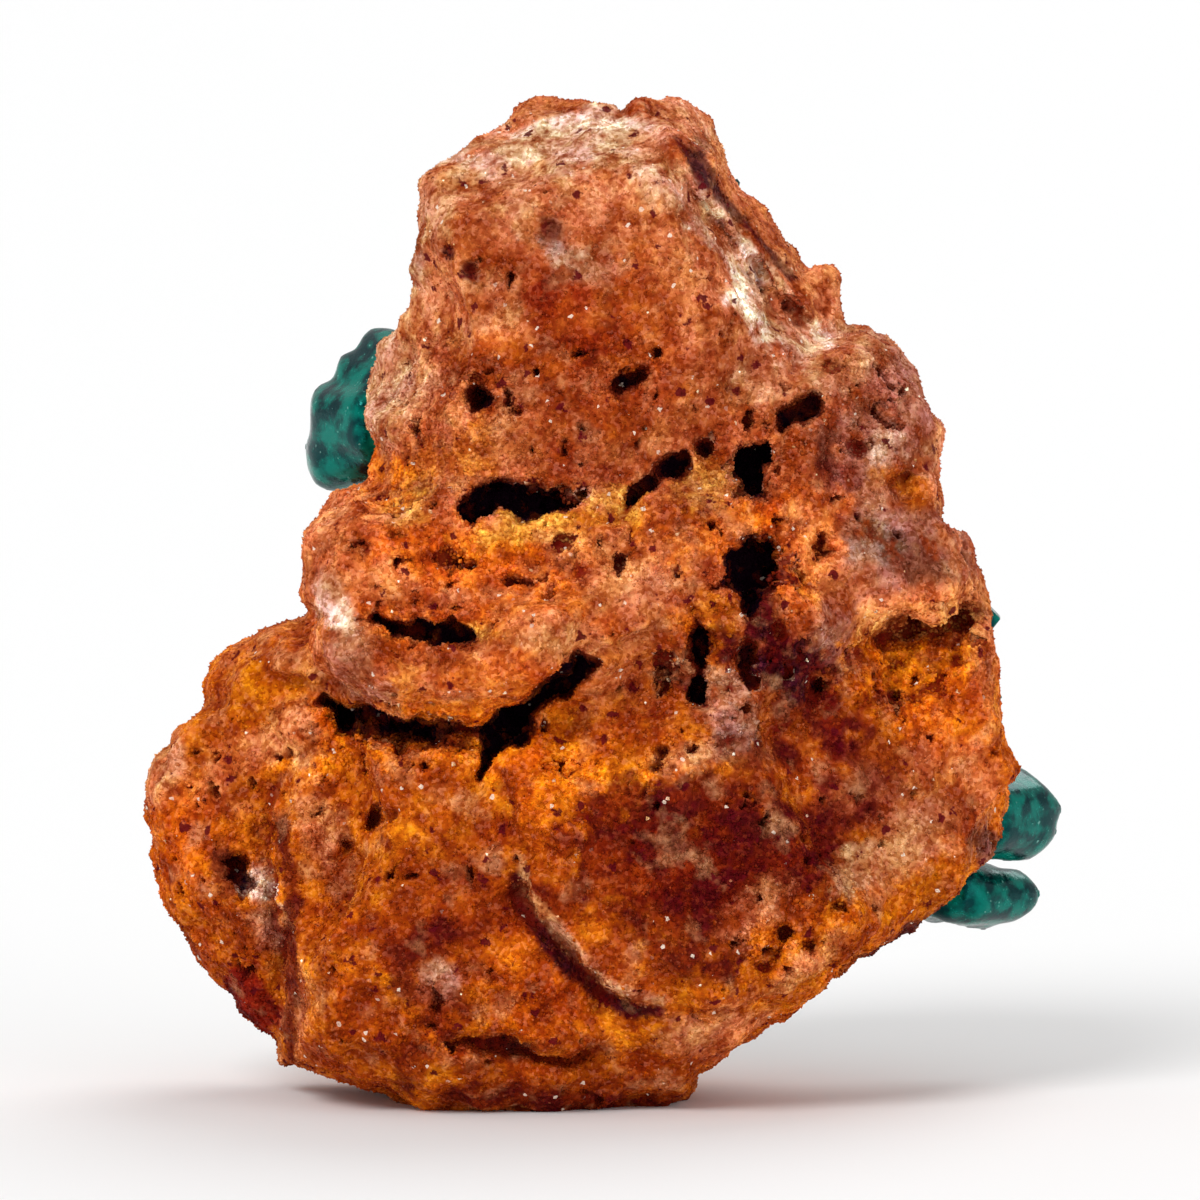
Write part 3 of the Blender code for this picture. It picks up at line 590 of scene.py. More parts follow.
def sunk_below(places, tree):
    """How far each place lies below the surface that the tree holds, in millimetres."""
    deep = np.zeros(len(places))
    for index, place in enumerate(places):
        spot = Vector(place) * MM
        hit, normal, _, gap = tree.find_nearest(spot)
        deep[index] = gap / MM if (spot - hit).dot(normal) < 0 else 0
    return deep


def cut_from(mesh, cutters, name):
    """The mesh with every cutter taken out of it."""
    obj = new_object(name, mesh)
    for cutter in cutters:
        modify(obj, "BOOLEAN", operation="DIFFERENCE", solver="MANIFOLD", object=cutter)
    left = evaluated_mesh(obj, name)
    for cutter in cutters:
        bpy.data.objects.remove(cutter)
    return left


def without_crumbs(mesh):
    """Only the largest of the mesh's separate shells stays."""
    bm = bmesh.new()
    bm.from_mesh(mesh)
    left = set(bm.verts)
    shells = []
    while left:
        edge = [left.pop()]
        shell = set(edge)
        while edge:
            vert = edge.pop()
            near = {e.other_vert(vert) for e in vert.link_edges} & left
            left -= near
            shell |= near
            edge.extend(near)
        shells.append(shell)
    crumbs = set(bm.verts) - max(shells, key=len)
    bmesh.ops.delete(bm, geom=list(crumbs), context="VERTS")
    bm.to_mesh(mesh)
    bm.free()
    return mesh


def ground_block():
    """Everything below the trimmed base."""
    bm = bmesh.new()
    bmesh.ops.create_cube(bm, size=100 * MM, matrix=Matrix.Translation((0, 0, -50 * MM)))
    return new_object("ground", mesh_of(bm, "ground"))


# ---- the rock's colours ----

# Tones of the stained rock, in sRGB from 0 to 255.
TONES = {
    "rust": (180, 82, 26),
    "salmon": (214, 128, 82),
    "tan": (208, 148, 108),
    "cream": (252, 232, 212),
    "dust": (214, 180, 160),
    "straw": (222, 168, 72),
    "apricot": (240, 150, 88),
    "orange": (210, 98, 10),
    "amber": (228, 124, 16),
    "ochre": (190, 98, 2),
    "umber": (150, 58, 4),
    "maroon": (100, 18, 4),
    "blood": (122, 18, 8),
    "mauve": (160, 98, 84),
    "lilac": (196, 146, 130),
    "plum": (50, 8, 30),
    "grey": (158, 122, 100),
}

# Stains on the broad face: tone, across, up, half width, half height, turn in degrees, strength.
STAINS = rows_of("""
# the upper block
salmon 0 52.5 7.5 5 -20 0.5
umber -1.5 47 6.5 4.5 0 0.75
tan -3.7 55.2 6.5 2.6 22 0.8
cream -2 57.7 3.6 0.9 14 0.55
cream 0.8 58 3 0.7 -20 0.6
tan 2.5 55.4 2 1.6 -40 0.5
tan -10.3 52.6 2 3.4 -10 0.7
grey -12.4 48.6 1.2 3.2 -15 0.6
salmon -8.6 47 2.4 2 30 0.5
dust -1.5 56.6 7.5 2 4 0.65
dust -12.4 49.6 1.5 4.2 -12 0.6
plum -2.7 51.3 1 1.2 20 0.8
dust -1.5 49.6 2.2 1.1 -25 0.5
tan -7.2 48.2 1.4 0.9 30 0.6
plum -9 50 0.5 0.55 0 0.9
plum -7.8 48.9 0.6 0.6 0 0.9
blood -2.4 47.3 2.4 1 0 0.9
tan -7 45.5 2.6 1 20 0.6
amber -6.6 44.7 2.4 1.6 10 0.45
blood -0.4 44.4 2.4 1.2 -15 0.95
plum 0.8 42.2 1.4 0.9 0 0.6
umber -1 42.8 8.5 3.2 0 0.7
umber 3.6 40.2 2.8 2.2 0 0.6
salmon -12.2 41.6 2.2 5 0 0.8
apricot -12.2 41.4 2 4.8 0 0.6
tan -12.6 41.4 2.4 5.4 0 0.8
dust -13 41 1.6 5 0 0.4
rust 3 46 4 4 0 0.5
umber -0.4 45.6 5.4 3.6 0 0.3
# its right-hand edge and the ridge behind it
salmon 7 47.6 3.4 3.6 -45 0.6
dust 7.4 50.6 8.6 1.4 -47 0.85
cream 9.3 47.4 1.6 2.4 35 1
cream 11.4 45.4 2.8 1.5 -52 0.45
grey 10 46.2 0.7 1 35 0.4
tan 12.2 44.9 3.6 1.4 -55 0.9
dust 10.8 45.9 3.4 1.5 -52 0.5
tan 9.6 42.6 2.2 1.6 0 0.5
salmon 7.6 55.8 4.6 4.2 0 0.6
plum 6 55 0.6 1.8 25 0.8
salmon 12.4 48.6 2.6 3.2 -35 0.8
plum 6 56.4 0.5 0.8 20 0.6
# the right-hand shoulder
mauve 17.2 39.4 4.6 6.4 -10 0.85
lilac 17.2 38.6 1.2 1.2 0 0.8
tan 14.6 43.4 2 2 0 0.6
blood 14 37 1.6 1 0 0.6
plum 13.4 38.6 0.8 1.6 0 0.5
mauve 17.8 32.8 4.6 3.6 -30 0.85
grey 15.8 32.8 1.6 1.6 0 0.8
plum 18.6 31.6 2.2 1.2 -30 0.5
ochre 18.2 36.2 1.9 1.1 -20 0.9
tan 16.4 35.6 1.2 0.9 20 0.6
salmon 20.6 37 1 3 10 0.8
# the middle band and the slab
orange -6.5 31.4 11 4 -4 0.85
ochre -9.6 37.6 4.2 2.2 -20 0.7
tan -11 35.6 3 1.6 20 0.45
amber -12.6 36.6 2.8 2 0 0.9
ochre 0 34.2 3.6 1.4 15 0.8
amber -4 32.6 5 1.5 5 0.6
tan -1 32.6 2.6 1.2 -10 0.35
salmon -16.4 33.4 2.6 3.8 0 0.7
salmon -12.6 30.4 2.4 1.2 0 0.5
straw -4.7 33.9 3 1.3 10 0.5
straw 0.6 35.2 1.7 1.4 0 0.55
straw -8.2 27.4 1.8 0.8 0 0.5
straw -11 35.4 1.5 1.8 0 0.4
straw 6.8 28.8 1.7 0.9 0 0.6
blood -10.6 29.4 3.4 0.8 0 0.35
tan 1.5 30.4 3 1.8 0 0.5
amber 6.2 33.6 3 2 30 0.5
rust 8 34.6 4.4 1.2 0 0.6
straw 6.2 36.2 1.7 2 0 0.45
orange 11.7 31.4 2.4 5 5 0.8
salmon 12.2 30.8 2 4.2 5 0.75
amber 11.8 31.2 1.6 4.2 5 0.8
orange 11.6 34.6 3 1.6 0 0.6
apricot 12.2 32.4 1.7 3.4 5 0.5
ochre 6.8 28.6 1.8 1.8 0 0.8
salmon 12.6 27.4 1.4 1.4 0 0.5
cream -15.7 28.8 0.9 1.9 35 0.5
mauve -14.6 25.4 2.2 1.8 -30 0.8
lilac -13 24 1.2 0.8 -20 0.5
lilac -16.4 30.4 1 1 0 0.6
salmon -8 25 4 1.6 0 0.5
orange -6 24.6 5 1.8 -5 0.6
blood -8.6 26.4 3 0.6 10 0.45
umber -9.1 25.4 3.8 1.4 0 0.35
tan -2.6 27.4 3 1.4 -20 0.4
# beside the dark zone and the pocket on the right
maroon 11.6 25 4.2 3.8 0 0.8
plum 11.4 25.6 2.8 2.4 0 0.95
plum 9.4 28.6 1.2 2.2 0 0.8
mauve 14.2 27.6 1.8 3 10 0.8
blood 15 23.4 1.8 1.6 0 0.8
lilac 7.4 23.4 2 1.6 10 0.4
lilac 8.4 21.4 1.2 1 0 0.6
plum 4.6 25.4 1.4 1.2 0 0.6
ochre 18.2 26 4.2 3 0 1
amber 18.2 25.4 3.4 2.4 -20 0.8
plum 17.4 23.6 1.2 0.6 0 0.8
orange 20.4 22 3.4 3 0 0.75
maroon 17.4 19.4 3.4 1.8 -25 0.6
salmon 19.4 28.8 4.8 1.5 8 1
straw 19.6 28.4 4.2 1.2 8 0.5
apricot 19.8 29 4.4 1 8 0.5
salmon 23 26.4 0.9 4.6 0 0.4
blood 12 19.8 3 1.6 -20 0.55
mauve 15.6 17.6 3.4 1.8 -20 0.4
# the belly, the apron with its flake, and the foot
amber -3.4 19.6 6 2.6 -10 0.85
amber 3.4 19 5.6 1.3 8 0.75
tan 5.6 20.2 2.8 0.9 10 0.6
plum 9.6 20.4 3 1.2 0 0.6
maroon 6.6 14.4 9.6 5.4 12 0.85
maroon 8 13.6 5.4 3 0 0.5
plum 3.6 16.6 1.8 1.2 20 0.6
maroon 3.4 11 6 3.8 -25 0.75
maroon 1.7 14 4.4 3 0 1
plum 9.6 15.8 1.6 1.2 0 0.5
maroon 11.6 12.6 4.2 2.4 0 0.55
rust 1.6 7.6 3.6 1.6 -35 0.5
umber 0.4 7.4 2.8 2.2 0 0.4
salmon 9.4 11 2.4 1.6 30 0.5
tan 17.4 14.4 4 1.6 38 0.75
orange 23.2 18.4 2 3.4 -10 0.4
salmon 21 18.2 3 3.4 0 0.4
blood 20.6 16.8 2 1.2 0 0.6
mauve 24 13.7 1.8 2.4 30 0.9
plum 22.8 15.2 1.2 0.8 0 0.6
ochre 16.6 11 4.4 1.2 38 0.55
tan 11.8 7.6 4.6 1 38 0.35
salmon 7.2 3.6 3 1.6 35 0.6
tan 5 3.4 2 1.2 15 0.5
umber -7 10.6 10 6 0 0.85
orange -3.6 7.4 3.6 3.2 0 0.6
maroon -4.6 12.4 2.6 1.2 -35 0.6
maroon -10 9.2 2.6 1.2 10 0.75
lilac -9.6 7.2 1.3 1.2 -20 0.55
plum -11.9 6.4 0.9 1.5 0 0.8
umber -13.6 4.6 4 4 0 0.7
plum -5.6 2.9 3.6 0.7 -5 0.8
maroon -9.1 5.2 1.9 1.3 0 0.4
ochre -7.4 1.4 2.6 0.9 0 0.7
maroon -11.4 1.6 1.2 1.8 -30 0.75
umber -1 1.6 10 2.6 0 0.7
maroon 0 -0.6 9 0.9 -6 0.8
# the left-hand lobe
ochre -20.6 23.4 3.4 2.8 30 0.8
amber -17.6 20.4 3 3 0 0.85
tan -19 21.4 2.2 1.3 40 0.55
tan -26.2 19.4 1.4 2.4 -30 0.8
salmon -22.6 19 2.6 2 20 0.5
orange -25 14.6 2.6 4.4 0 0.6
tan -16.8 16.4 1.4 3.4 15 0.5
plum -22.2 13.2 0.9 1.6 20 0.8
cream -20.2 12.2 1.1 1.1 0 0.7
lilac -19.8 10.2 1.2 1.6 0 0.55
orange -22.4 8.6 2.6 2.2 -30 0.4
umber -22.9 9.8 2.8 3.2 0 0.4
blood -20.8 5 2.8 2.6 -40 0.95
salmon -18 4.6 1 4 0 0.5
""")

# Wide hollows whose floors get only a quarter of the painted hollow shade: across, up, half width, half
# height, turn.
OPEN_POCKETS = [(19.2, 25.6, 4.6, 4.2, 0), (-12.0, 20.4, 1.6, 1.2, 0)]

# Streaks on the broad face: tone, half width, strength, then the line that each follows. Most are
# painted
# light and shade: the plum beside the tan and cream on the crest's right-hand edge is painted shadow
# along the crown's groove; on the flake the tan is a painted highlight on its brink and the maroon and
# plum painted shadow below it; the plum along the lower right rim is painted shade on its underside, and
# the maroon by the lobe's step painted shadow along it.
STREAKS = [(tone, width, strength, line) for tone, width, strength, *line in rows_of("""
tan 0.5 0.85 2.3,57 4.4,54.6 6.2,52 8.6,49 9.6,46.8
cream 0.3 0.6 6,53.4 8.4,50.8 11,48 13.6,44.6
plum 0.3 0.8 4.4,56.8 6.2,54.4 8.6,51.8 11.4,48.6
maroon 0.5 0.8 -5.2,13 -4.4,10.4 -2.4,8.4 -0.6,6.6 1.8,5
plum 0.5 0.95 -5,13.2 -4.7,11.4 -3,9.3 -1.4,7.7 0.1,6 2.1,5.2 3.4,5.2
tan 0.4 0.9 -4.9,14.4 -4.3,11.9 -2.6,9.9 -1,8.3 0.5,6.6 2.3,5.9 3.6,5.8
plum 0.6 0.9 21.8,11.4 17.6,9 13.6,6 10,3 6.6,0.4
maroon 0.5 0.8 -19,16 -18.4,11.4 -18.4,5.4 -18.6,1.8
""")]

# Stains on the side that carries the crystals, in the same form; up is the height.
FAR_STAINS = rows_of("""
tan 0 30 40 42 0 0.45
lilac 0 34 12 11 0 0.75
cream -4 40 6 4 20 0.7
cream 6 26 7 3 -20 0.65
grey 10 38 5 5 0 0.6
mauve -12 24 6 5 0 0.7
amber 0 8 12 3 5 0.35
tan -2 50 8 5 0 0.6
maroon 14 12 6 4 20 0.5
ochre -20 14 5 5 0 0.4
lilac 4 17 7 4 0 0.6
""")


def linear(tone):
    """An sRGB tone as the linear red, green and blue that Blender mixes."""
    share = np.array(TONES[tone]) / 255
    return np.where(share <= 0.04045, share / 12.92, ((share + 0.055) / 1.055) ** 2.4)


def stained(colours, flat, ragged, stains, shown):
    """The colours with each stain laid over them, inside an edge that wanders with ragged."""
    for tone, *patch, strength in stains:
        share = strength * shown * patch_share(flat, ragged, *patch)
        colours = colours + share[:, None] * (linear(tone) - colours)
    return colours


def streaked(colours, flat, ragged, shown):
    """The colours with each streak drawn over them."""
    for tone, width, strength, line in STREAKS:
        gap, _ = to_line(flat, line)
        share = strength * shown * (1 - smoothstep(0.4, 1.3, gap / width + ragged))
        colours = colours + share[:, None] * (linear(tone) - colours)
    return colours


def rock_colours(places, normals):
    """The rock's colour at each place."""
    ragged = 0.5 * layered_noise(places, 2.4, seed=60)
    ragged = ragged + 0.35 * layered_noise(places, 0.7, seed=64, layers=2)
    behind = smoothstep(-0.1, 0.5, -normals @ OUT_OF_FACE + 0.5 * ragged)
    drift = smoothstep(-0.5, 0.7, layered_noise(places, 8.0, seed=68))[:, None]
    high = smoothstep(22, 34, places[:, 2] + 8 * ragged)[:, None]
    pale = linear("amber") + high * (linear("salmon") - linear("amber"))
    base = linear("umber") + (0.25 + 0.5 * drift) * (pale - linear("umber"))
    colours = stained(base, on_face(places), ragged, STAINS, 1 - behind)
    colours = streaked(colours, on_face(places), ragged, 1 - behind)
    return stained(colours, places[:, [0, 2]], ragged, FAR_STAINS, behind)


def crease_share(mesh, places, normals, rounds=14):
    """How far each place lies below its surroundings, from -1 on a ridge to 1 in a crease."""
    ends = numbers_of(mesh.edges, "vertices", 2, int)
    both = np.concatenate([ends, ends[:, ::-1]])
    count = np.bincount(both[:, 0], minlength=len(places))
    level = places
    for _ in range(rounds):
        sums = [np.bincount(both[:, 0], level[both[:, 1], axis], len(places)) for axis in range(3)]
        level = np.stack(sums, axis=1) / np.maximum(count, 1)[:, None]
    return np.clip(((level - places) * normals).sum(axis=1) / CREASE_DEPTH, -1, 1)


def set_attribute(mesh, name, kind, values):
    """Stores one number or one colour for each vertex."""
    attribute = mesh.attributes.new(name, kind, "POINT")
    field = "color" if kind == "FLOAT_COLOR" else "value"
    attribute.data.foreach_set(field, np.ravel(values).astype(np.float32))


def paint_rock(mesh, uncarved):
    """Stores each vertex's colour, its depth below the uncarved form, and how creased it is there; from
    the last two the material paints shade in the hollows and creases.
    """
    places = vertex_places(mesh)
    normals = vertex_normals(mesh)
    colours = rock_colours(places, normals)
    # the creasing and the depth below the uncarved form, which the material turns into painted shade
    crease = crease_share(mesh, places, normals) * (0.35 + 0.65 * crumbly_share(places, normals))
    sunk = sunk_below(places, uncarved)
    for pocket in OPEN_POCKETS:
        sunk *= 1 - 0.75 * patch_share(on_face(places), 0, *pocket)
    tones = np.concatenate([colours, np.ones((len(colours), 1))], axis=1)
    set_attribute(mesh, "tone", "FLOAT_COLOR", tones)
    set_attribute(mesh, "sunk", "FLOAT", sunk)
    set_attribute(mesh, "crease", "FLOAT", crease)


# ---- the grains ----


def random_turns(draw, count):
    """Rotation matrices that point every way alike."""
    x, y, z, w = (lambda q: q / np.linalg.norm(q, axis=0))(draw.normal(size=(4, count)))
    rows = [
        [1 - 2 * (y * y + z * z), 2 * (x * y - z * w), 2 * (x * z + y * w)],
        [2 * (x * y + z * w), 1 - 2 * (x * x + z * z), 2 * (y * z - x * w)],
        [2 * (x * z - y * w), 2 * (y * z + x * w), 1 - 2 * (x * x + y * y)],
    ]
    return np.array(rows).transpose(2, 0, 1)


def unit(rows):
    return rows / np.linalg.norm(rows, axis=1)[:, None]


def strewn(rock, wanted, count, draw):
    """Places strewn over the rock where wanted is high, the way out there and the nearest vertex."""
    rock.calc_loop_triangles()
    corners = numbers_of(rock.loop_triangles, "vertices", 3, np.int32)
    chance = numbers_of(rock.loop_triangles, "area", 1) * wanted[corners].mean(axis=1)
    face = draw.choice(len(chance), count, p=chance / chance.sum())
    mix = draw.dirichlet((1, 1, 1), count)
    middle = (vertex_places(rock)[corners[face]] * mix[:, :, None]).sum(axis=1)
    return middle, numbers_of(rock.loop_triangles, "normal", 3)[face], corners[face, 0]


def joined_mesh(name, spots, sides):
    """One mesh of many little solids: spots holds the corners of each, and sides the faces of one."""
    count, each = spots.shape[:2]
    faces = (np.array(sides)[None] + each * np.arange(count)[:, None, None]).reshape(-1, 3)
    mesh = bpy.data.meshes.new(name)
    mesh.vertices.add(each * count)
    mesh.vertices.foreach_set("co", (spots * MM).ravel())
    mesh.loops.add(faces.size)
    mesh.loops.foreach_set("vertex_index", faces.ravel())
    mesh.polygons.add(len(faces))
    mesh.polygons.foreach_set("loop_start", np.arange(0, faces.size, 3))
    mesh.update(calc_edges=True)
    return mesh


def grain_mesh(rock, wanted, draw):
    """Little eight-sided grains strewn over the rock and half sunk in it."""
    middle, outward, host = strewn(rock, wanted, GRAIN_COUNT, draw)
    size = draw.uniform(*GRAIN_SIZES, GRAIN_COUNT) * (0.55 + 0.55 * wanted[host])
    middle -= outward * (0.1 * size)[:, None]
    tips = np.concatenate([np.eye(3), -np.eye(3)])
    shape = tips * (size[:, None] * draw.uniform(0.65, 1.25, (GRAIN_COUNT, 3)))[:, None, :]
    spots = middle[:, None, :] + shape @ random_turns(draw, GRAIN_COUNT)
    sides = [(0, 1, 2), (1, 3, 2), (3, 4, 2), (4, 0, 2), (1, 0, 5), (3, 1, 5), (4, 3, 5), (0, 4, 5)]
    mesh = joined_mesh("grains", spots, sides)
    tone = numbers_of(rock.attributes["tone"].data, "color", 4)[host]
    tone[:, :3] *= draw.uniform(0.75, 1.4, (GRAIN_COUNT, 1)) ** [0.8, 1.1, 1.3]
    # a few grains painted cream: painted sparkle
    painted_sparkle = draw.random(GRAIN_COUNT) < PAINTED_SPARKLE_GRAINS
    tone[painted_sparkle, :3] = linear("cream")
    set_attribute(mesh, "tone", "FLOAT_COLOR", np.repeat(tone, 6, axis=0))
    # the host's depth and half its creasing, for the material's painted shade
    for name, share in (("sunk", 1.0), ("crease", 0.5)):
        values = numbers_of(rock.attributes[name].data, "value", 1)[host]
        set_attribute(mesh, name, "FLOAT", np.repeat(share * values, 6))
    return mesh


def make_grains(rock, stone):
    """The grains in four pieces: the broad face's upper, middle and lower parts, and all behind."""
    mesh = rock.data
    places = vertex_places(mesh) - [0, SETBACK, 0]
    normals = vertex_normals(mesh)
    crumbly = crumbly_share(places, normals)
    front = smoothstep(-0.45, 0.0, normals @ OUT_OF_FACE)
    for name, (low, high) in GRAIN_BANDS.items():
        here = (places[:, 2] > low) & (places[:, 2] <= high)
        side = 1 - front if name == "grains_behind" else front
        wanted = here * side * (0.35 + 0.65 * crumbly) + 1e-9
        grains = grain_mesh(mesh, wanted, np.random.default_rng(len(name)))
        finish_piece(name, grains, stone, ["matrix"])


# ---- materials ----


# Tints that multiply the rock's colour: where a pattern is low, and where it is high.
TINTS = {
    "dark tones": ((1, 1, 1), (0.95, 0.75, 0.6)),
    "drifts": ((0.82, 0.6, 0.45), (1.12, 1.25, 1.4)),
    "hues": ((1.03, 0.93, 1.05), (1.0, 1.04, 0.9)),
    "clots": ((0.85, 0.7, 0.6), (1.2, 1.3, 1.3)),
    "flecks": ((0.85, 0.68, 0.6), (1.2, 1.35, 1.35)),
    "grains": ((0.72, 0.54, 0.34), (1.38, 1.55, 1.65)),
    # painted highlight on crests
    "painted_crest_highlight": ((1, 1, 1), (1.3, 1.35, 1.35)),
}

# Linear colours that no stain has.
DRIED = (0.09, 0.001, 0.006)
# painted shade of little pits
PIT_SHADE_RED = (0.11, 0.002, 0.006)
# painted shade: near black deep in the hollows
HOLLOW_SHADE = (0.009, 0.0012, 0.009)
DEEP_GREEN = (0.0, 0.01, 0.02)
LIT_GREEN = (0.0, 0.25, 0.19)
# pale green of etched specks, partly painted highlights
ETCHED_AND_GLINTING_GREEN = (0.35, 0.7, 0.62)


def new_material(name):
    made = bpy.data.materials.new(name)
    made.use_nodes = True
    return made, made.node_tree, made.node_tree.nodes["Principled BSDF"]


def add_node(tree, kind, inputs=None, **settings):
    node = with_settings(tree.nodes.new(kind), settings)
    for key, value in (inputs or {}).items():
        if isinstance(value, bpy.types.NodeSocket):
            tree.links.new(value, node.inputs[key])
        else:
            node.inputs[key].default_value = value
    return node


def pattern_places(tree):
    """Places in millimetres, for patterns whose sizes are then plain to read."""
    coordinates = add_node(tree, "ShaderNodeTexCoord").outputs["Object"]
    inputs = {0: coordinates, "Scale": 1 / MM}
    return add_node(tree, "ShaderNodeVectorMath", inputs, operation="SCALE").outputs[0]


def speckle(tree, places, size, **settings):
    """Cells about size across, each with its own random colour."""
    return add_node(tree, "ShaderNodeTexVoronoi", {"Vector": places, "Scale": 1 / size}, **settings)


def swirl(tree, places, size, detail=3):
    inputs = {"Vector": places, "Scale": 1 / size, "Detail": detail}
    return add_node(tree, "ShaderNodeTexNoise", inputs).outputs["Fac"]


def scaled(tree, value, low, high, new_low, new_high):
    """value's stretch from low to high moved to new_low to new_high."""
    inputs = {"Value": value, "From Min": low, "From Max": high, "To Min": new_low, "To Max": new_high}
    return add_node(tree, "ShaderNodeMapRange", inputs).outputs["Result"]


def opaque(colour):
    """A node's colour as it is, or red, green and blue with nothing see-through."""
    return colour if isinstance(colour, bpy.types.NodeSocket) else (*colour, 1)


def mixed(tree, share, first, second, blend_type="MIX"):
    """A colour Mix node, whose sockets 0, 6 and 7 are its share and its two colours."""
    inputs = {0: share, 6: opaque(first), 7: opaque(second)}
    node = add_node(tree, "ShaderNodeMix", inputs, data_type="RGBA", blend_type=blend_type)
    return node.outputs[2]


def attribute(tree, name, output="Fac"):
    return add_node(tree, "ShaderNodeAttribute", attribute_name=name).outputs[output]


def calculated(tree, operation, first, second):
    return add_node(tree, "ShaderNodeMath", {0: first, 1: second}, operation=operation).outputs[0]


def channels(tree, colour):
    return add_node(tree, "ShaderNodeSeparateColor", {"Color": colour}).outputs


def tinted(tree, colour, value, low, high, tint):
    """The colour multiplied by the tint's first colour where value is low, and its second where high."""
    tint = mixed(tree, scaled(tree, value, low, high, 0, 1), *TINTS[tint])
    return mixed(tree, 1.0, colour, tint, "MULTIPLY")


def rock_material():
    """Stained rock, mottled from broad drifts down to grains, with painted shade in its pocks, creases
    and dark hollows, and painted highlights on its crests and glints.
    """
    made, tree, shader = new_material("iron_stained_rock")
    places = pattern_places(tree)
    grain = speckle(tree, places, 0.22)
    grain_number = channels(tree, grain.outputs["Color"])
    clots = swirl(tree, places, 1.5, 5)
    blooms = swirl(tree, places, 2.3, 5)
    flecks = swirl(tree, places, 0.5, 3)

    colour = attribute(tree, "tone", "Color")
    brightness = add_node(tree, "ShaderNodeRGBToBW", {"Color": colour}).outputs[0]
    dark = scaled(tree, brightness, 0.14, 0.04, 0, 1)
    colour = tinted(tree, colour, dark, 0, 1, "dark tones")
    colour = tinted(tree, colour, swirl(tree, places, 3.0, 5), 0.38, 0.62, "drifts")
    colour = tinted(tree, colour, swirl(tree, places, 2.0, 4), 0.4, 0.6, "hues")

    # dried clots, which take up more of the dark tones
    spread = [scaled(tree, dark, 0, 1, low, low + 0.09) for low in (0.43, 0.34)]
    spots = scaled(tree, clots, *spread, 0, 0.8)
    colour = mixed(tree, spots, colour, mixed(tree, dark, linear("umber"), DRIED))
    colour = mixed(tree, scaled(tree, blooms, 0.56, 0.7, 0, 0.4), colour, linear("tan"))
    colour = tinted(tree, colour, clots, 0.38, 0.66, "clots")
    colour = tinted(tree, colour, flecks, 0.32, 0.68, "flecks")
    colour = tinted(tree, colour, grain_number["Red"], 0, 1, "grains")
    pale_grain = mixed(tree, dark, linear("lilac"), linear("rust"))
    colour = mixed(tree, scaled(tree, grain_number["Red"], 0.72, 1.0, 0, 0.16), colour, pale_grain)

    # painted shade of little pits: dark red spots in about half of the cells
    pock = speckle(tree, places, 1.5).outputs
    spared = scaled(tree, channels(tree, pock["Color"])[0], 0.5, 0.6, 0, 1)
    from_pock = calculated(tree, "ADD", calculated(tree, "ADD", flecks, pock["Distance"]), spared)
    colour = mixed(tree, scaled(tree, from_pock, 0.69, 0.62, 0, 0.92), colour, PIT_SHADE_RED)

    crease = attribute(tree, "crease")
    # painted shade in creases, blood red where the rock lies below its surroundings; then painted
    # highlight on crests, made paler
    colour = mixed(tree, scaled(tree, crease, 0.15, 0.8, 0, 0.9), colour, linear("blood"))
    colour = tinted(tree, colour, crease, -0.1, -0.8, "painted_crest_highlight")
    # painted shade in the hollows by depth below the uncarved form: maroon near the rims, partly the
    # rock's own oxide and partly painted shade, then near black deeper in
    unevenness = scaled(tree, swirl(tree, places, 0.9, 5), 0.36, 0.64, 0.4, 1.4)
    sunk = calculated(tree, "MULTIPLY", attribute(tree, "sunk"), unevenness)
    colour = mixed(tree, scaled(tree, sunk, 0.3, 1.0, 0, 0.8), colour, linear("maroon"))
    colour = mixed(tree, scaled(tree, sunk, 1.1, 2.6, 0, 0.97), colour, HOLLOW_SHADE)
    # painted highlights: a few grain cells turned cream as glints
    painted_glint = scaled(tree, grain_number["Green"], 0.997, 0.998, 0, 0.8)
    colour = mixed(tree, painted_glint, colour, linear("cream"))
    tree.links.new(colour, shader.inputs["Base Color"])

    tree.links.new(scaled(tree, grain_number["Blue"], 0, 1, 0.5, 0.95), shader.inputs["Roughness"])
    shader.inputs["Specular IOR Level"].default_value = 0.05
    grit = {"Height": grain.outputs["Distance"], "Strength": 0.6, "Distance": 0.12 * MM}
    grit = add_node(tree, "ShaderNodeBump", grit, invert=True).outputs[0]
    crumb = {"Height": flecks, "Strength": 0.9, "Distance": 0.35 * MM, "Normal": grit}
    tree.links.new(add_node(tree, "ShaderNodeBump", crumb).outputs[0], shader.inputs["Normal"])
    return made


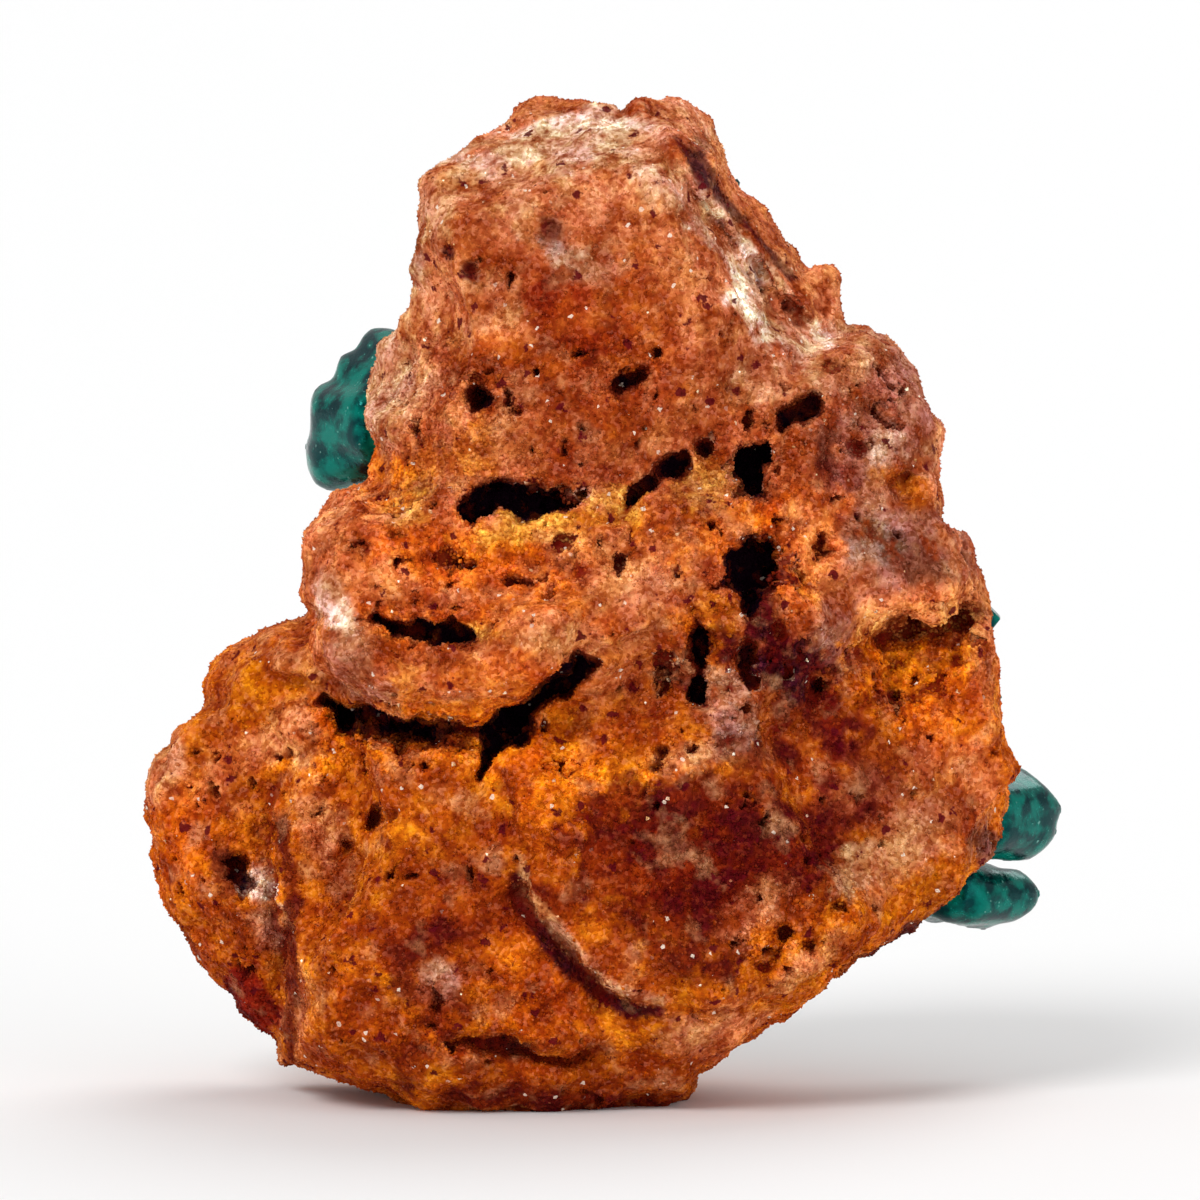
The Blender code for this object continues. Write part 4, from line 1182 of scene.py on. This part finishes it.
def crystal_material():
    """Deep green glass with cloudy, darker and etched patches; the pale etched ones are also painted
    highlights.
    """
    made, tree, shader = new_material("dioptase")
    places = pattern_places(tree)
    clouds = swirl(tree, places, 1.2, 3)
    etching = swirl(tree, places, 0.3, 4)
    colour = mixed(tree, scaled(tree, clouds, 0.42, 0.6, 0, 1), DEEP_GREEN, LIT_GREEN)
    # pale etched specks, which also stand as painted highlights
    colour = mixed(tree, scaled(tree, etching, 0.68, 0.72, 0, 0.8), colour, ETCHED_AND_GLINTING_GREEN)
    tree.links.new(colour, shader.inputs["Base Color"])
    shader.inputs["Transmission Weight"].default_value = 0.4
    shader.inputs["Specular Tint"].default_value = (0.06, 0.8, 0.72, 1)
    shader.inputs["IOR"].default_value = 1.67
    shader.inputs["Specular IOR Level"].default_value = 0.3
    tree.links.new(scaled(tree, etching, 0.35, 0.7, 0.06, 0.32), shader.inputs["Roughness"])
    bump = add_node(tree, "ShaderNodeBump", {"Height": etching, "Strength": 0.25, "Distance": 0.1 * MM})
    tree.links.new(bump.outputs[0], shader.inputs["Normal"])
    absorb = add_node(tree, "ShaderNodeVolumeAbsorption")
    absorb.inputs["Color"].default_value = (0.02, 0.83, 0.74, 1)
    absorb.inputs["Density"].default_value = 2000
    tree.links.new(absorb.outputs[0], tree.nodes["Material Output"].inputs["Volume"])
    return made


def plain_material(name, tone, roughness):
    made, _, shader = new_material(name)
    shader.inputs["Base Color"].default_value = (tone, tone, tone, 1)
    shader.inputs["Roughness"].default_value = roughness
    return made


# ---- the pieces ----


def lay_flat(mesh):
    """A map of the surface for baking: faces that point the same way along an axis share a tile."""
    places = numbers_of(mesh.vertices, "co", 3)
    share = (places - places.min(axis=0)) / np.ptp(places, axis=0)
    normals = numbers_of(mesh.polygons, "normal", 3)
    axis = np.abs(normals).argmax(axis=1)
    sign = normals[np.arange(len(axis)), axis] > 0
    corners = numbers_of(mesh.polygons, "loop_total", 1, np.int32)
    axis = np.repeat(axis, corners)
    spot = share[numbers_of(mesh.loops, "vertex_index", 1, np.int32)]
    across = np.where(axis == 0, spot[:, 1], spot[:, 0])
    up = np.where(axis == 2, spot[:, 1], spot[:, 2])
    column = (axis + 0.01 + 0.98 * across) / 3
    row = (np.repeat(sign, corners) + 0.01 + 0.98 * up) / 2
    tiled = np.stack([column, row], axis=1)
    mesh.uv_layers.new(name="OFBake").data.foreach_set("uv", tiled.ravel())


def finish_piece(name, mesh, material, stands_for):
    """Gives a piece its material, hangs it on the root and hides the parts that it stands for."""
    mesh.materials.clear()
    mesh.materials.append(material)
    mesh.shade_smooth()
    lay_flat(mesh)
    piece = new_object(name, mesh)
    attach(piece, "root")
    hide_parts(*stands_for)
    return piece


def make_rock(stone):
    rough = rough_rock()
    faces = [face.vertices for face in rough.polygons]
    uncarved = BVHTree.FromPolygons([vert.co for vert in rough.vertices], faces)
    mesh = without_crumbs(cut_from(carved_rock(rough), [ground_block()], "rock"))
    paint_rock(mesh, uncarved)
    mesh.transform(Matrix.Translation((0, SETBACK * MM, 0)))
    return finish_piece("rock", mesh, stone, ["matrix"])


def make_crystals(green):
    """Each crystal group's own faces with worn edges; three at the rock's edge are worn quite round."""
    for name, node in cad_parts.items():
        if not name.startswith("dioptase"):
            continue
        mesh = node.data.copy()
        mesh.materials.clear()
        mesh.materials.append(green)
        crystal = new_object(f"{name}_worn", mesh)
        if name in WELL_WORN:
            modify(crystal, "REMESH", voxel_size=WORN_VOXEL * MM, use_smooth_shade=True)
            modify(crystal, "SMOOTH", iterations=WORN_ROUNDS)
            modify(crystal, "DISPLACE", strength=WORN_AWAY * MM, mid_level=0)
        else:
            modify(crystal, "WELD", merge_threshold=0.001 * MM)
            sharp = {"limit_method": "ANGLE", "angle_limit": math.radians(20)}
            modify(crystal, "BEVEL", width=EDGE_WEAR * MM, segments=2, **sharp)
        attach(crystal, "root")
        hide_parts(name)


def make_druse(rock, green):
    """A crust of little six-sided crystals round the feet of the groups behind."""
    draw = np.random.default_rng(5)
    groups = [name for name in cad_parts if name.startswith("dioptase_far")]
    places = vertex_places(rock)
    feet = [vertex_places(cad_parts[name].data).mean(axis=0) for name in groups]
    near = sum(np.exp(-((places - foot) ** 2).sum(axis=1) / DRUSE_SPREAD**2) for foot in feet)
    behind = smoothstep(0.2, 0.6, -vertex_normals(rock) @ OUT_OF_FACE)
    middle, outward, _ = strewn(rock, near * behind, DRUSE_COUNT, draw)
    way = unit(outward + draw.normal(0, DRUSE_LEAN, outward.shape))
    side = unit(np.cross(way, draw.normal(size=way.shape)))
    wide = draw.uniform(*DRUSE_SIZES, DRUSE_COUNT)[:, None, None]
    long = draw.uniform(*DRUSE_LENGTHS, (DRUSE_COUNT, 1, 1))
    turn = np.arange(6)[None, :, None] * math.pi / 3
    ring = np.cos(turn) * side[:, None] + np.sin(turn) * np.cross(way, side)[:, None]
    axis = way[:, None]
    shape = np.concatenate([ring - axis, ring + long * axis, (long + DRUSE_TIP) * axis], axis=1)
    ends = [(i, (i + 1) % 6) for i in range(6)]
    sides = [(i, j, j + 6) for i, j in ends] + [(i, j + 6, i + 6) for i, j in ends]
    sides += [(i + 6, j + 6, 12) for i, j in ends] + [(0, i + 1, i) for i in range(1, 5)]
    mesh = joined_mesh("druse", middle[:, None] + wide * shape, sides)
    finish_piece("druse", mesh, green, groups).data.shade_flat()


# ---- the stage ----


def make_floor():
    """A pale floor out to the horizon, in squares that are small near the object."""
    bm = bmesh.new()
    bmesh.ops.create_grid(bm, x_segments=20, y_segments=20, size=1)
    for vert in bm.verts:
        vert.co = [math.copysign(abs(c) ** 4, c) * FLOOR_REACH for c in vert.co]
    mesh = mesh_of(bm, "floor")
    mesh.materials.append(plain_material("pale_paper", 0.9, 0.8))
    floor = new_object("floor", mesh)


def add_light(name, place, breadth, strength):
    """A soft light from far off, aimed at the middle of the object."""
    lamp = bpy.data.lights.new(name, "SUN")
    lamp.angle = math.radians(breadth)
    lamp.energy = strength
    obj = bpy.data.objects.new(name, lamp)
    obj.location = place
    obj.rotation_euler = (Vector(LIT_SPOT) - obj.location).to_track_quat("-Z", "Y").to_euler()
    bpy.context.scene.collection.objects.link(obj)


def make_lights():
    for name, light in LIGHTS.items():
        add_light(name, *light)
    world = bpy.data.worlds.new("studio")
    world.use_nodes = True
    tree = world.node_tree
    direction = add_node(tree, "ShaderNodeTexCoord").outputs["Generated"]
    height = add_node(tree, "ShaderNodeSeparateXYZ", {0: direction}).outputs["Z"]
    # as white at the horizon as the floor is, so that a low view shows no edge
    glow = scaled(tree, height, *HORIZON, 1.0, AIR_GLOW)
    tree.links.new(glow, tree.nodes["Background"].inputs["Strength"])
    tree.nodes["Background"].inputs["Color"].default_value = (1, 1, 1, 1)
    bpy.context.scene.world = world
    bpy.context.scene.view_settings.view_transform = "Standard"


def make_camera():
    """Far off and level with the broad face, so that the face is seen square on."""
    camera = bpy.data.cameras.new("camera")
    camera.sensor_width = 36
    camera.lens = camera.sensor_width * CAMERA_DISTANCE / (VIEW_WIDTH * MM)
    camera.clip_start = 0.05
    camera.clip_end = 2 * FLOOR_REACH
    obj = bpy.data.objects.new("camera", camera)
    target = (VIEW_MIDDLE[0] * np.array([1, 0, 0]) + VIEW_MIDDLE[1] * UP_FACE + [0, SETBACK, 0]) * MM
    obj.location = target + OUT_OF_FACE * CAMERA_DISTANCE
    obj.rotation_euler = (math.pi / 2 - FACE_LEAN, 0, 0)
    bpy.context.scene.collection.objects.link(obj)
    bpy.context.scene.camera = obj


stone = rock_material()
green = crystal_material()
rock = make_rock(stone)
make_grains(rock, stone)
make_druse(rock.data, green)
make_crystals(green)
make_floor()
make_lights()
make_camera()
